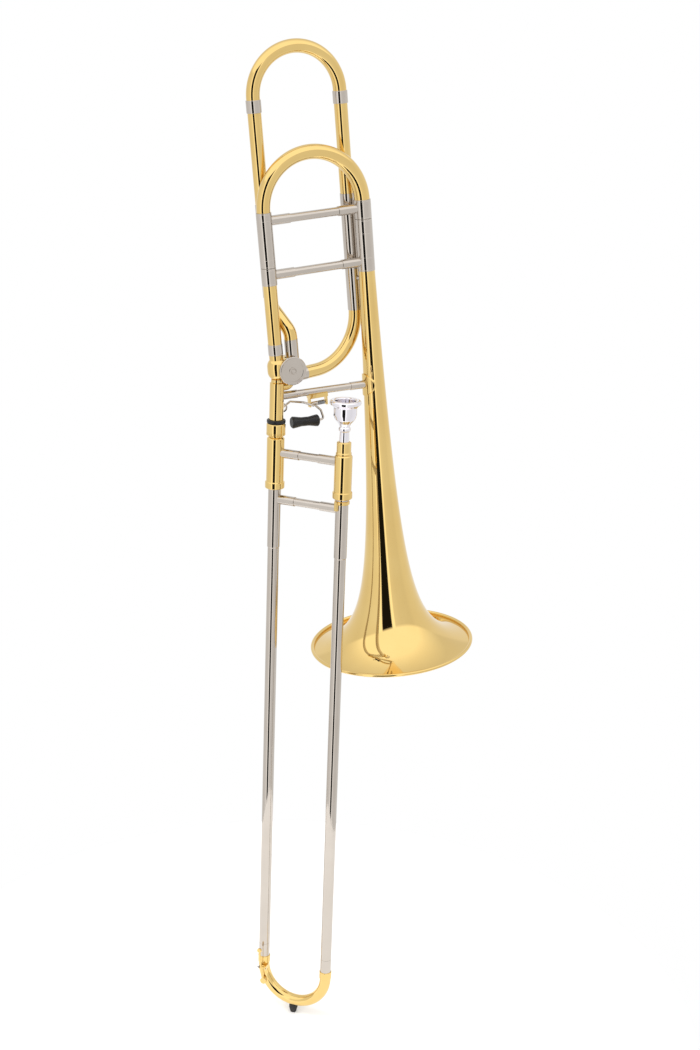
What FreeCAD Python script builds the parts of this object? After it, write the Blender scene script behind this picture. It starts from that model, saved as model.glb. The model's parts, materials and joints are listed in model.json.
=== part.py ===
import FreeCAD, Part
import math
import os
import re
import Sketcher
from FreeCAD import Placement, Rotation, Vector

# A tenor trombone with an F attachment, closed hand slide pointing straight down.
# +Z runs up the hand slide, +X goes from the receiver-side tube to the mouthpiece-side tube,
# and the origin is the centre of the rubber tip under the slide bow.

doc = FreeCAD.newDocument("trombone")
sheet = doc.addObject("Spreadsheet::Sheet", "Dims")

DIMENSIONS = {
    # hand slide
    "slide_spread": 92.4,        # centre to centre of the two slide tubes
    "outer_tube_od": 14.7,
    "outer_tube_bore": 13.7,
    "hand_sleeve_od": 16.1,      # thicker top end of an outer tube
    "hand_sleeve_long": 108.0,
    "inner_tube_od": 13.54,      # 0.08 mm running clearance all round
    "inner_tube_bore": 12.5,
    "bow_tube_od": 15.2,
    "bow_ferrule_od": 16.6,
    "bow_ferrule_long": 9.0,
    "tip_long": 11.0,            # rubber tip below the bow
    "tip_od": 11.6,
    "tip_end_od": 8.0,
    "slide_long": 679.0,         # bow centre to the lower lip of the cork barrels
    "outer_reach": 31.0,         # how far the outer tubes enter the cork barrels
    "inner_foot": 14.0,          # inner tubes stop this far above the bow centre
    "barrel_od": 22.0,
    "barrel_bore": 17.0,
    "barrel_ring_od": 24.6,
    "barrel_ring_long": 9.0,
    "barrel_shoulder": 38.0,     # height of the inner step where the felt sits
    "left_barrel_long": 66.0,
    "right_barrel_long": 56.0,
    "tenon_od": 15.88,
    "tenon_top": 131.0,
    "mouth_receiver_od": 17.9,
    "mouth_receiver_top": 72.0,
    "brace_od": 10.4,
    "brace_sleeve_od": 11.9,
    "inner_brace_sleeve": 33.0,  # from the slide tube's axis
    "outer_brace_sleeve": 28.5,
    "cross_sleeve": 32.5,
    "bell_brace_od": 9.2,
    "bell_brace_sleeve_od": 10.4,
    "inner_brace_up": 46.0,      # above the barrel lip
    "outer_brace_down": 14.2,    # below the barrel lip
    # mouthpiece
    "rim_up": 124.0,             # rim plane above the barrel lip
    "rim_od": 38.6,
    "rim_id": 25.6,
    "shank_od": 12.4,
    "shank_tip_od": 11.6,
    # bell section, measured along the leg from the knuckle ball
    "knuckle_up": 148.6,         # ball centre above the barrel lip
    "bell_turn": 47.2,           # angle between bell plane and slide plane
    "bell_splay": 6.55,          # the bell leans away from the hand slide
    "receiver_od": 17.7,
    "receiver_bore": 16.0,
    "receiver_low": 70.0,
    "collar_low": 83.5,
    "collar_high": 88.0,
    "collar_od": 23.4,
    "nut_low": 68.0,
    "nut_high": 83.0,
    "nut_od": 23.8,
    "receiver_top": 138.0,
    "ball_od": 24.0,
    "ball_tall": 6.0,            # the knuckle is two balls this far apart, and what lies between
    "leg_od": 17.0,
    "leg_bore": 14.4,
    "low_ferrule_start": 20.5,
    "low_ferrule_end": 34.0,
    "low_ferrule_od": 18.0,
    "main_spread": 127.8,        # centre to centre of the main tuning slide
    "main_low": 106.4,
    "main_seam": 127.4,
    "main_mid": 170.3,
    "main_high": 193.4,
    "left_sleeve_od": 18.9,
    "right_sleeve_od": 21.2,
    "left_leg_inner_od": 16.4,
    "right_leg_inner_od": 18.4,
    "main_left_bore": 14.4,
    "main_right_bore": 16.4,
    "main_bow_left_od": 16.6,
    "main_bow_right_od": 19.2,
    "upper_brace": 183.0,
    "lower_brace": 118.0,
    # F attachment
    "valve_right": 15.8,         # rotor axis from the leg axis
    "casing_od": 31.0,
    "casing_long": 20.0,
    "rotor_od": 27.2,
    "rotor_long": 18.0,
    "port_bore": 9.2,
    "cap_od": 35.0,
    "f_port_right": 21.0,        # the upper F port stands a little right of the rotor axis
    "f_left": 6.6,
    "f_spread": 110.4,
    "f_depth": 20.0,             # the F loop lies behind the main loop
    "f_tube_od": 16.4,
    "f_tube_bore": 14.3,
    "f_outer_od": 17.6,
    "f_inner_od": 15.6,
    "f_outer_bore": 15.72,
    "f_ferrule_od": 18.2,
    "f_low_left": 88.0,
    "f_low_right": 56.0,
    "f_joint": 200.0,
    "f_ferrule_low": 306.6,
    "f_high": 321.6,
    "f_inner_long": 84.0,
    # bell
    "bell_od": 215.9,
    "bell_long": 502.4,
    "bell_wall": 0.8,
    "bead_od": 4.6,
    # thumb trigger
    "hinge_down": 49.0,
    "lever_reach": 22.6,
    "lever_swing": 24.0,
    "stop_arm_reach": 6.65,
    "rod_od": 2.8,
    "grip_od": 15.0,
    "grip_waist_od": 11.4,
    "grip_long": 36.0,
}

for row, (alias, size) in enumerate(DIMENSIONS.items(), start=1):
    sheet.set(f"A{row}", alias)
    sheet.set(f"B{row}", str(size))
    sheet.setAlias(f"B{row}", alias)
doc.recompute()

SUBPARTS = []
ORIGIN = Placement()


def bind(text):
    """Turn a formula of dimension names into a sheet expression."""
    return re.sub(r"[a-z][a-z_]+", lambda word: "Dims." + word.group(0), text)


def size(text):
    """The value of a formula of dimension names, in millimetres or degrees."""
    return float(sheet.evalExpression(bind(text)))


# ---------------------------------------------------------------- frames

LIP = "(tip_long + bow_tube_od / 2 + slide_spread / 2 + slide_long)"
BOW_CENTRE = "(tip_long + bow_tube_od / 2 + slide_spread / 2)"


def slide_frame(side, up=0.0):
    """On the axis of a slide tube: side -1 is the receiver side, +1 the mouthpiece side."""
    return Placement(Vector(side * size("slide_spread / 2"), 0, up), Rotation())


def lip_frame(side, up=0.0):
    """As slide_frame, measured from the lower lip of the cork barrels."""
    return slide_frame(side, size(LIP) + up)


BELL_TILT = Rotation(Vector(0, 0, 1), size("bell_turn")) * Rotation(Vector(0, 1, 0), -size("bell_splay"))
BELL_BASE = Placement(lip_frame(-1, size("knuckle_up")).Base, BELL_TILT)


def bell_frame(right=0.0, back=0.0, up=0.0, turn=None):
    """In the bell section: right towards the bell, back behind the leg, up along the leg."""
    return BELL_BASE * Placement(Vector(right, back, up), turn or Rotation())


ALONG_RIGHT = Rotation(Vector(0, 1, 0), 90)      # turns a part's Z towards the bell
ALONG_BACK = Rotation(Vector(1, 0, 0), -90)      # turns a part's Z to the back
ALONG_FRONT = Rotation(Vector(1, 0, 0), 90)      # turns a part's Z to the front


# ---------------------------------------------------------------- makers

def keep(piece, label):
    piece.Label = label
    SUBPARTS.append(piece)
    return piece


def origin_plane(body, role):
    return [part for part in body.Origin.OriginFeatures if part.Role == role][0]


def draw(body, name, corners):
    """A closed outline on the XZ plane; each corner is a pair of dimension formulas."""
    sketch = body.newObject("Sketcher::SketchObject", name)
    sketch.AttachmentSupport = (origin_plane(body, "XZ_Plane"), [""])
    sketch.MapMode = "FlatFace"
    spots = [Vector(size(across), size(up), 0) for across, up in corners]
    count = len(spots)
    for index in range(count):
        sketch.addGeometry(Part.LineSegment(spots[index], spots[(index + 1) % count]), False)
    for index in range(count):
        sketch.addConstraint(Sketcher.Constraint("Coincident", index, 2, (index + 1) % count, 1))
    for index, (across, up) in enumerate(corners):
        for kind, formula, axis in (("DistanceX", across, -2), ("DistanceY", up, -1)):
            if formula == "0":
                sketch.addConstraint(Sketcher.Constraint("PointOnObject", index, 1, axis))
                continue
            rule = Sketcher.Constraint(kind, -1, 1, index, 1, size(formula))
            number = sketch.addConstraint(rule)
            sketch.setExpression(f"Constraints[{number}]", bind(formula))
    return sketch


def lathe(label, corners, place):
    """A lathe-turned body: an outline of (radius, height) turned about Z."""
    body = doc.addObject("PartDesign::Body", label)
    sketch = draw(body, label + "_outline", corners)
    turn = body.newObject("PartDesign::Revolution", label + "_turn")
    turn.Profile = sketch
    turn.ReferenceAxis = (sketch, ["V_Axis"])
    turn.Angle = 360
    body.Placement = place
    return body


def turned(label, corners, place):
    """A lathe-turned sub-part."""
    return keep(lathe(label, corners, place), label)


def tube(label, outside, inside, low, high, place):
    """A straight tube; outside and inside are diameters, low and high are heights."""
    return turned(label, [(f"({inside}) / 2", low), (f"({outside}) / 2", low),
                          (f"({outside}) / 2", high), (f"({inside}) / 2", high)], place)


def shaped(label, shape, place=None):
    """A piece whose shape is worked out with solid geometry."""
    piece = doc.addObject("Part::Feature", label)
    piece.Shape = shape
    if place:
        piece.Placement = place
    return keep(piece, label)


def rod(radius, start, end):
    """A plain round bar between two points."""
    run = Vector(end) - Vector(start)
    return Part.makeCylinder(radius, run.Length, Vector(start), run)


def swept(route, radius):
    """A round bar that follows a route of tangent edges."""
    wire = Part.Wire(route)
    start = wire.Edges[0].firstVertex(True).Point
    along = wire.Edges[0].tangentAt(wire.Edges[0].FirstParameter)
    ring = Part.Wire(Part.makeCircle(radius, start, along))
    return wire.makePipeShell([ring], True, False)


def rounded_route(points, radius):
    """Straight runs through the points, joined by arcs of one radius."""
    points = [Vector(*point) for point in points]
    edges = []
    last = points[0]
    for before, corner, after in zip(points, points[1:], points[2:]):
        inward = (before - corner).normalize()
        outward = (after - corner).normalize()
        half = inward.getAngle(outward) / 2
        cut = radius / math.tan(half)
        middle = corner + (inward + outward).normalize() * (radius / math.sin(half) - radius)
        start = corner + inward * cut
        end = corner + outward * cut
        edges.append(Part.LineSegment(last, start).toShape())
        edges.append(Part.Arc(start, middle, end).toShape())
        last = end
    edges.append(Part.LineSegment(last, points[-1]).toShape())
    return edges


def half_bow(label, outside, inside, spread, leg, place):
    """A U of tube: half a ring of the given spread on two short straight legs, in XZ."""
    solids = []
    for part, across in (("outer", outside), ("inner", inside)):
        ring = doc.addObject("Part::Torus", f"{label}_{part}_ring")
        ring.setExpression("Radius1", bind(f"{spread} / 2"))
        ring.setExpression("Radius2", bind(f"{across} / 2"))
        ring.Angle3 = 180
        ring.Placement = Placement(Vector(0, 0, 0), Rotation(Vector(1, 0, 0), 90))
        pieces = [ring]
        for side in (-1, 1):
            stem = doc.addObject("Part::Cylinder", f"{label}_{part}_leg_{side + 1}")
            stem.setExpression("Radius", bind(f"{across} / 2"))
            stem.setExpression("Height", bind(leg))
            stem.setExpression("Placement.Base.x", bind(f"{side} * {spread} / 2"))
            stem.setExpression("Placement.Base.z", bind(f"-({leg})"))
            pieces.append(stem)
        whole = doc.addObject("Part::MultiFuse", f"{label}_{part}")
        whole.Shapes = pieces
        solids.append(whole)
    bow = doc.addObject("Part::Cut", label)
    bow.Base = solids[0]
    bow.Tool = solids[1]
    bow.Placement = place
    return keep(bow, label)


def brace(start, end, sleeve_long, middle_od="brace_od", sleeve_od="brace_sleeve_od"):
    """A stay of thinner tube with a thicker sleeve on each end, trimmed by the caller."""
    start, end = Vector(*start), Vector(*end)
    run = (end - start).normalize()
    middle = rod(size(f"{middle_od} / 2"), start, end)
    left = rod(size(f"{sleeve_od} / 2"), start, start + run * sleeve_long)
    right = rod(size(f"{sleeve_od} / 2"), end - run * sleeve_long, end)
    return middle.fuse([left, right]).removeSplitter()


# ---------------------------------------------------------------- outer hand slide

OUTER_TOP = f"({LIP} + outer_reach)"
BOW_TOP = f"({BOW_CENTRE} + bow_ferrule_long)"

for name, side in (("outer_tube_left", -1), ("outer_tube_right", 1)):
    turned(name, [
        ("outer_tube_bore / 2", BOW_TOP),
        ("outer_tube_od / 2", BOW_TOP),
        ("outer_tube_od / 2", f"{OUTER_TOP} - hand_sleeve_long - 1"),
        ("hand_sleeve_od / 2", f"{OUTER_TOP} - hand_sleeve_long"),
        ("hand_sleeve_od / 2", OUTER_TOP),
        ("outer_tube_bore / 2", OUTER_TOP),
    ], slide_frame(side))

half_bow("slide_bow", "bow_tube_od", "outer_tube_bore", "slide_spread", "bow_ferrule_long - 0.4",
         Placement(Vector(0, 0, size(BOW_CENTRE)), Rotation(Vector(1, 0, 0), 180)))

# Each ferrule is bored to the bow's size below the joint and to the outer tube's size above it.
FERRULE_EDGE = 0.6
FERRULE_START = 1.0
FERRULE_ABOVE = 3.4
JOINT_GAP = 0.4
ferrule_low = size(BOW_CENTRE) + FERRULE_START
joint_high = size(BOW_TOP) - JOINT_GAP
ferrules = []
for side in (-1, 1):
    low = slide_frame(side, ferrule_low).Base
    joint = slide_frame(side, joint_high).Base
    ring = Part.makeCylinder(size("bow_ferrule_od / 2"), joint_high + FERRULE_ABOVE - ferrule_low, low)
    ring = ring.makeChamfer(FERRULE_EDGE, ring.Edges)
    ring = ring.cut(Part.makeCylinder(size("bow_tube_od / 2"), joint_high - ferrule_low, low))
    ring = ring.cut(Part.makeCylinder(size("outer_tube_od / 2"), 2 * FERRULE_ABOVE, joint))
    ferrules.append(ring)
shaped("bow_ferrules", Part.makeCompound(ferrules))

# The rubber tip is a tapered plug, hollowed at the top to sit on the bow.
TIP_TALL = size("tip_long + 1.4")
TIP_FILLET = 0.8
tip = Part.makeCylinder(size("tip_od / 2"), TIP_TALL)
tip = tip.common(Part.makeCone(size("tip_end_od / 2"), size("tip_od / 2 + 1.2"), TIP_TALL))
tip = tip.makeFillet(TIP_FILLET, [edge for edge in tip.Edges if edge.BoundBox.ZMax < 0.1])
bow_bar = Part.makeTorus(size("slide_spread / 2"), size("bow_tube_od / 2"),
                         Vector(0, 0, size(BOW_CENTRE)), Vector(0, 1, 0))
shaped("slide_tip", tip.cut(bow_bar).Solids[0])


def slide_brace(label, up, tube_od, sleeve_long):
    """A brace between the two slide tubes, trimmed to their outside."""
    ends = [slide_frame(side, up).Base for side in (-1, 1)]
    bar = brace(*ends, size(sleeve_long))
    for side in (-1, 1):
        bar = bar.cut(Part.makeCylinder(size(f"{tube_od} / 2"), 60, slide_frame(side, up - 30).Base))
    return shaped(label, bar)


slide_brace("outer_brace", size(f"{LIP} - outer_brace_down"), "hand_sleeve_od", "outer_brace_sleeve")

# ---------------------------------------------------------------- slide lock

# A ring that turns on the right hand sleeve, with a tab for the finger on one side.
LOCK_LOW = -7.2
LOCK_TALL = 4.4
LOCK_R = 9.4
LOCK_PLAY = 0.07
TAB_DEEP, TAB_WIDE, TAB_TALL = 3.0, 5.0, 12.0
TAB_BITE = 1.1
TAB_BEARING = 247.0
lock_spot = lip_frame(1, LOCK_LOW).Base
lock_bore = size("hand_sleeve_od / 2") + LOCK_PLAY
lock = Part.makeCylinder(LOCK_R, LOCK_TALL, lock_spot)
lock = lock.makeChamfer(0.5, lock.Edges)
tab = Part.makeBox(TAB_DEEP, TAB_WIDE, TAB_TALL,
                   Vector(LOCK_R - TAB_BITE, -TAB_WIDE / 2, LOCK_TALL - TAB_TALL))
tab.rotate(Vector(0, 0, 0), Vector(0, 0, 1), TAB_BEARING)
tab.translate(lock_spot)
lock = lock.fuse(tab.makeFillet(0.8, tab.Edges))
lock = lock.cut(Part.makeCylinder(lock_bore, 40, lock_spot - Vector(0, 0, 20)))
shaped("slide_lock", lock)

# ---------------------------------------------------------------- water key

# The nipple drains the bow's lowest stretch on the receiver side. The lever hangs from a saddle in front
# of the left ferrule: its lower arm carries the cork, and its upper arm is what the finger presses.
KEY_ANGLE = math.radians(28)
NIPPLE_R = 3.4
NIPPLE_BORE = 1.8
NIPPLE_OUT = 2.2
EAR_HALF = 5.4
EAR_THICK = 1.4
EAR_TALL = 6.0
EAR_UNDER = 5.4
PIN_R = 0.9
PIN_PLAY = 0.07
PIN_HALF = 6.6
HINGE_OUT = 4.6
HINGE_DROP = 2.4
bow_arc = size("slide_spread / 2")
skin = size("bow_tube_od / 2")
key_x = -bow_arc * math.cos(KEY_ANGLE)
key_z = size(BOW_CENTRE) - bow_arc * math.sin(KEY_ANGLE)
key_y = -skin - 4.4
hinge_x = -bow_arc + 2.4
hinge_y = -skin - HINGE_OUT
hinge_z = size(BOW_CENTRE) - HINGE_DROP
saddle_low = size(BOW_CENTRE) - EAR_UNDER
front = Vector(0, -1, 0)


def key_rod(radius, left, right):
    """A bar on the water key's hinge line, from left to right of the hinge's middle."""
    return rod(radius, (hinge_x - left, hinge_y, hinge_z), (hinge_x + right, hinge_y, hinge_z))


nipple = Part.makeCylinder(NIPPLE_R, skin + NIPPLE_OUT, Vector(key_x, 0, key_z), front)
nipple = nipple.cut(bow_bar)
nipple = [piece for piece in nipple.Solids if piece.CenterOfMass.y < 0][0]
nipple = nipple.cut(Part.makeCylinder(NIPPLE_BORE, 2 * skin, Vector(key_x, 0, key_z), front))

ears = []
for side in (-1, 1):
    corner = Vector(hinge_x + side * EAR_HALF - EAR_THICK / 2, hinge_y - 2.2, saddle_low)
    ears.append(Part.makeBox(EAR_THICK, skin + 1.6, EAR_TALL, corner))
foot = Part.makeBox(2 * EAR_HALF, skin, EAR_TALL, Vector(hinge_x - EAR_HALF, -skin, saddle_low))
mount = foot.fuse(ears).cut(bow_bar)
mount = mount.cut(Part.makeCylinder(skin, 20, slide_frame(-1, size(BOW_CENTRE)).Base))
mount = max(mount.Solids, key=lambda piece: piece.Volume)
mount = mount.cut(key_rod(PIN_R, 9, 9))
ferrule_bar = Part.makeCylinder(size("bow_ferrule_od / 2") + 0.02, 40, slide_frame(-1, ferrule_low).Base)
shaped("water_key_mount", Part.makeCompound([nipple.Solids[0], mount.cut(ferrule_bar)]))
shaped("water_key_pin", key_rod(PIN_R, PIN_HALF, PIN_HALF))

TOUCH_R = 3.2
TOUCH_UP = 28.5
CUP_R = 4.3
CUP_DEEP = 2.0
CORK_R = 3.9
CORK_DEEP = 1.7
knuckle = key_rod(2.3, 2.2, 4.4)
arm_up = swept(rounded_route([
    (hinge_x, hinge_y - 1.2, hinge_z),
    (hinge_x - 0.6, -skin - 7.4, hinge_z + 10),
    (hinge_x - 2.0, -skin - 8.4, hinge_z + 27),
], 6), 1.3)
touch = Part.makeSphere(TOUCH_R, Vector(hinge_x - 2.0, -skin - 8.6, hinge_z + TOUCH_UP))
touch = touch.common(Part.makeBox(12, 3.0, 12, Vector(hinge_x - 8, -skin - 10.0, hinge_z + 22)))
arm_down = swept(rounded_route([
    (hinge_x, hinge_y - 1.2, hinge_z),
    (hinge_x + 1.5, -skin - 6.6, hinge_z - 9),
    (key_x, key_y - 0.6, key_z),
], 5), 1.5)
cup = Part.makeCylinder(CUP_R, CUP_DEEP, Vector(key_x, key_y + 0.2, key_z), front)
lever = knuckle.fuse([arm_up, touch, arm_down, cup])
lever = lever.cut(key_rod(PIN_R + PIN_PLAY, 9, 9))
shaped("water_key_lever", lever.removeSplitter())
cork = Part.makeCylinder(CORK_R, CORK_DEEP, Vector(key_x, key_y + 1.9, key_z), front)
shaped("water_key_cork", cork.cut(lever))


def coil(radius, wire, pitch, turns):
    """A coil of wire along Z."""
    line = Part.makeHelix(pitch, pitch * turns, radius)
    section = Part.Wire(Part.makeCircle(wire, Vector(radius, 0, 0), Vector(0, 1, 0)))
    return Part.Wire(line).makePipeShell([section], True, True)


key_spring = coil(1.7, 0.35, 0.75, 2)
shaped("water_key_spring", key_spring, Placement(Vector(hinge_x - 4.3, hinge_y, hinge_z), ALONG_RIGHT))

# ---------------------------------------------------------------- inner hand slide

FELT_LOW = "outer_reach + 1"
BARRELS = (("left", -1, "left_barrel_long"), ("right", 1, "right_barrel_long"))
for name, side, top in BARRELS:
    turned("cork_barrel_" + name, [
        ("barrel_bore / 2", "0"),
        ("barrel_ring_od / 2 - 1", "0"),
        ("barrel_ring_od / 2", "1"),
        ("barrel_ring_od / 2", "barrel_ring_long - 1"),
        ("barrel_ring_od / 2 - 1", "barrel_ring_long"),
        ("barrel_od / 2", "barrel_ring_long"),
        ("barrel_od / 2", f"{top} - 2"),
        ("barrel_od / 2 - 2", top),
        ("inner_tube_od / 2", top),
        ("inner_tube_od / 2", "barrel_shoulder"),
        ("barrel_bore / 2", "barrel_shoulder"),
    ], lip_frame(side))

felts = []
inner_tubes = []
for name, side, top in BARRELS:
    low = lip_frame(side, size(FELT_LOW)).Base
    felt = Part.makeCylinder(size("barrel_bore / 2"), size(f"barrel_shoulder - ({FELT_LOW})"), low)
    felts.append(felt.cut(Part.makeCylinder(size("inner_tube_od / 2") + 0.05, 20, low)))
    low = lip_frame(side, size("inner_foot - slide_long")).Base
    long = size(f"{top} + slide_long - inner_foot")
    pipe = Part.makeCylinder(size("inner_tube_od / 2"), long, low)
    inner_tubes.append(pipe.cut(Part.makeCylinder(size("inner_tube_bore / 2"), long, low)))
shaped("barrel_felts", Part.makeCompound(felts))
shaped("inner_tubes", Part.makeCompound(inner_tubes))

slide_brace("inner_brace", size(f"{LIP} + inner_brace_up"), "barrel_od", "inner_brace_sleeve")

# The tenon stands on the left barrel and goes up into the bell section.
turned("receiver_tenon", [
    ("inner_tube_bore / 2", "left_barrel_long"),
    ("barrel_od / 2 - 2.4", "left_barrel_long"),
    ("barrel_od / 2 - 2.4", "nut_low - 0.3"),
    ("tenon_od / 2", "nut_low - 0.3"),
    ("tenon_od / 2 - 0.3", "tenon_top"),
    ("inner_tube_bore / 2", "tenon_top"),
], lip_frame(-1))

turned("mouthpiece_receiver", [
    ("inner_tube_bore / 2 - 0.4", "right_barrel_long"),
    ("mouth_receiver_od / 2 + 0.8", "right_barrel_long"),
    ("mouth_receiver_od / 2 + 0.8", "right_barrel_long + 2"),
    ("mouth_receiver_od / 2", "right_barrel_long + 3"),
    ("mouth_receiver_od / 2", "mouth_receiver_top - 1"),
    ("mouth_receiver_od / 2 - 1", "mouth_receiver_top"),
    ("shank_od / 2 + 0.09", "mouth_receiver_top"),
    ("shank_od / 2 + 0.02", "right_barrel_long"),
], lip_frame(1))

# ---------------------------------------------------------------- lock nut

# A smooth nut with a band of grip grooves round its lower end.
NUT_LOW = size("nut_low")
NUT_EDGE = 0.9
GROOVES = 28
GROOVE_R = 0.6
GROOVE_LONG = 4.4
nut = Part.makeCylinder(size("nut_od / 2"), size("nut_high - nut_low"), Vector(0, 0, NUT_LOW))
nut = nut.makeChamfer(NUT_EDGE, nut.Edges)
for index in range(GROOVES):
    groove = Part.makeCylinder(GROOVE_R, GROOVE_LONG, Vector(size("nut_od / 2") + 0.2, 0, NUT_LOW - 0.5))
    groove.rotate(Vector(0, 0, 0), Vector(0, 0, 1), index * 360 / GROOVES)
    nut = nut.cut(groove)
nut = nut.cut(Part.makeCylinder(size("receiver_od / 2") + 0.35, 40, Vector(0, 0, size("receiver_low") - 0.4)))
nut = nut.cut(Part.makeCylinder(size("tenon_od / 2") + 0.08, 40, Vector(0, 0, NUT_LOW - 10)))
shaped("lock_nut", nut, lip_frame(-1))

# ---------------------------------------------------------------- mouthpiece

turned("mouthpiece", [
    ("rim_id / 2", "rim_up - 1.2"),
    ("rim_id / 2 + 1.4", "rim_up"),
    ("rim_od / 2 - 1.8", "rim_up"),
    ("rim_od / 2", "rim_up - 1.8"),
    ("rim_od / 2", "rim_up - 4.6"),
    ("rim_od / 2 - 2.6", "rim_up - 6.6"),
    ("rim_od / 2 - 5", "rim_up - 9"),
    ("rim_od / 2 - 5", "rim_up - 18"),
    ("rim_od / 2 - 7", "rim_up - 24"),
    ("rim_od / 2 - 11.4", "rim_up - 29"),
    ("shank_od / 2 - 0.2", "rim_up - 33"),
    ("shank_od / 2 + 1.2", "rim_up - 35"),
    ("shank_od / 2 + 1.2", "rim_up - 37.6"),
    ("shank_od / 2 - 0.4", "rim_up - 39.4"),
    ("shank_od / 2", "mouth_receiver_top + 2"),
    ("shank_od / 2", "mouth_receiver_top"),
    ("shank_tip_od / 2", "barrel_shoulder + 6"),
    ("shank_tip_od / 2 - 0.9", "barrel_shoulder + 6"),
    ("3.4", "rim_up - 30"),
    ("5.0", "rim_up - 27"),
    ("9.0", "rim_up - 22"),
    ("11.4", "rim_up - 15"),
    ("12.4", "rim_up - 6"),
], lip_frame(1))

# ---------------------------------------------------------------- slide receiver of the bell section

receiver = lathe("receiver_blank", [
    ("receiver_bore / 2", "receiver_low"),
    ("receiver_od / 2", "receiver_low"),
    ("receiver_od / 2", "receiver_top - 4"),
    ("receiver_od / 2 - 1.4", "receiver_top - 3"),
    ("receiver_od / 2 - 1.4", "receiver_top + 0.6"),
    ("0", "receiver_top + 0.6"),
    ("0", "receiver_top - 3"),
    ("receiver_bore / 2 - 1", "receiver_top - 3"),
    ("receiver_bore / 2", "receiver_top - 4.5"),
], lip_frame(-1))
doc.recompute()


def receiver_bar(radius, low, high):
    """A bar on the slide receiver's axis, seen from the bell section's own frame."""
    to_bell = BELL_BASE.inverse()
    start = to_bell.multVec(lip_frame(-1, low).Base)
    end = to_bell.multVec(lip_frame(-1, high).Base)
    return rod(radius, start, end)


PORT = size("port_bore / 2")
VALVE = size("valve_right")
CASING = size("casing_od / 2")
ELBOW_R = 5.3
ELBOW_ARC = 6.5
ELBOW_BITE = 1.6
elbow_low = -CASING + ELBOW_BITE - ELBOW_ARC
elbow_route = rounded_route([
    (VALVE, 0, -CASING + ELBOW_BITE),
    (VALVE, 0, elbow_low),
    (0, 0, elbow_low),
], ELBOW_ARC - 0.01)
elbow_air = swept(elbow_route, ELBOW_R - 1.0)
across = Vector(0, 1, 0)
casing_bar = Part.makeCylinder(CASING, 80, Vector(VALVE, -40, 0), across)
blank = receiver.Shape.copy()
blank.Placement = BELL_BASE.inverse() * blank.Placement
receiver = shaped("slide_receiver", blank.cut([elbow_air, casing_bar]))
receiver.Placement = BELL_BASE * receiver.Placement

elbow = swept(elbow_route, ELBOW_R)
elbow = elbow.cut([elbow_air, casing_bar, receiver_bar(size("receiver_od / 2"), 60, 134.2)])
shaped("valve_elbow", max(elbow.Solids, key=lambda piece: piece.Volume), bell_frame())

tube("receiver_collar", "collar_od", "receiver_od", "collar_low", "collar_high", lip_frame(-1))

# ---------------------------------------------------------------- knuckle ball, leg and ferrules

ball_r = size("ball_od / 2")
ball = Part.makeSphere(ball_r)
neck = Part.makeCylinder(size("leg_od / 2"), size("low_ferrule_start"))
ball = ball.fuse([neck, Part.makeCylinder(ball_r, size("ball_tall")),
                  Part.makeSphere(ball_r, Vector(0, 0, size("ball_tall")))])
ball = ball.cut(Part.makeCylinder(size("leg_bore / 2") - 0.8, 40))
ball = ball.cut(Part.makeSphere(size("leg_bore / 2") - 0.8))
ball = ball.cut(rod(PORT, (0, 0, 0), (30, 0, 0)))
cap_low = -size("casing_long / 2")
cap_bar = rod(size("cap_od / 2 + 0.02"), (VALVE, cap_low - 40, 0), (VALVE, cap_low, 0))
receiver_end = size("receiver_top") + 0.6
ball = ball.cut([casing_bar, cap_bar, receiver_bar(30, receiver_end - 60, receiver_end)])
shaped("knuckle_ball", ball, bell_frame())

tube("leg_ferrule", "low_ferrule_od", "leg_bore", "low_ferrule_start", "low_ferrule_end", bell_frame())
tube("neck_leg", "leg_od", "leg_bore", "low_ferrule_end", "main_low", bell_frame())
tube("leg_top_ferrule", "left_sleeve_od", "leg_bore", "main_low", "main_seam", bell_frame())
tube("tuning_leg_left", "left_leg_inner_od", "main_left_bore", "main_seam", "main_high - 8", bell_frame())
tube("bell_sleeve", "right_sleeve_od", "right_leg_inner_od + 0.12", "main_low", "main_mid - 0.3",
     bell_frame(size("main_spread")))

# ---------------------------------------------------------------- bell

RIM = size("main_low - bell_long")
bell_r = size("bell_od / 2")
FLARE_SCALE = 447.5
FLARE_SHIFT = 14.5


def flare(height):
    """Outer radius of the bell at a height above the rim: a near-hyperbolic brass flare."""
    base = FLARE_SCALE / math.sqrt(FLARE_SHIFT) - bell_r
    return FLARE_SCALE / math.sqrt(height + FLARE_SHIFT) - base


def flare_bar(low, high, extra=0.0):
    """The bell's outer shape as a solid between two heights above the rim, grown by extra."""
    heights = [low + (high - low) * step / 6 for step in range(7)]
    line = Part.BSplineCurve()
    line.interpolate([Vector(flare(height) + extra, 0, height) for height in heights])
    ends = [Vector(0, 0, low), Vector(flare(low) + extra, 0, low)]
    tops = [Vector(flare(high) + extra, 0, high), Vector(0, 0, high)]
    sides = [Part.LineSegment(*ends).toShape(), line.toShape(), Part.LineSegment(*tops).toShape(),
             Part.LineSegment(tops[1], ends[0]).toShape()]
    solid = Part.Face(Part.Wire(sides)).revolve(Vector(0, 0, 0), Vector(0, 0, 1), 360)
    solid.translate(Vector(size("main_spread"), 0, RIM))
    return solid


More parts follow.
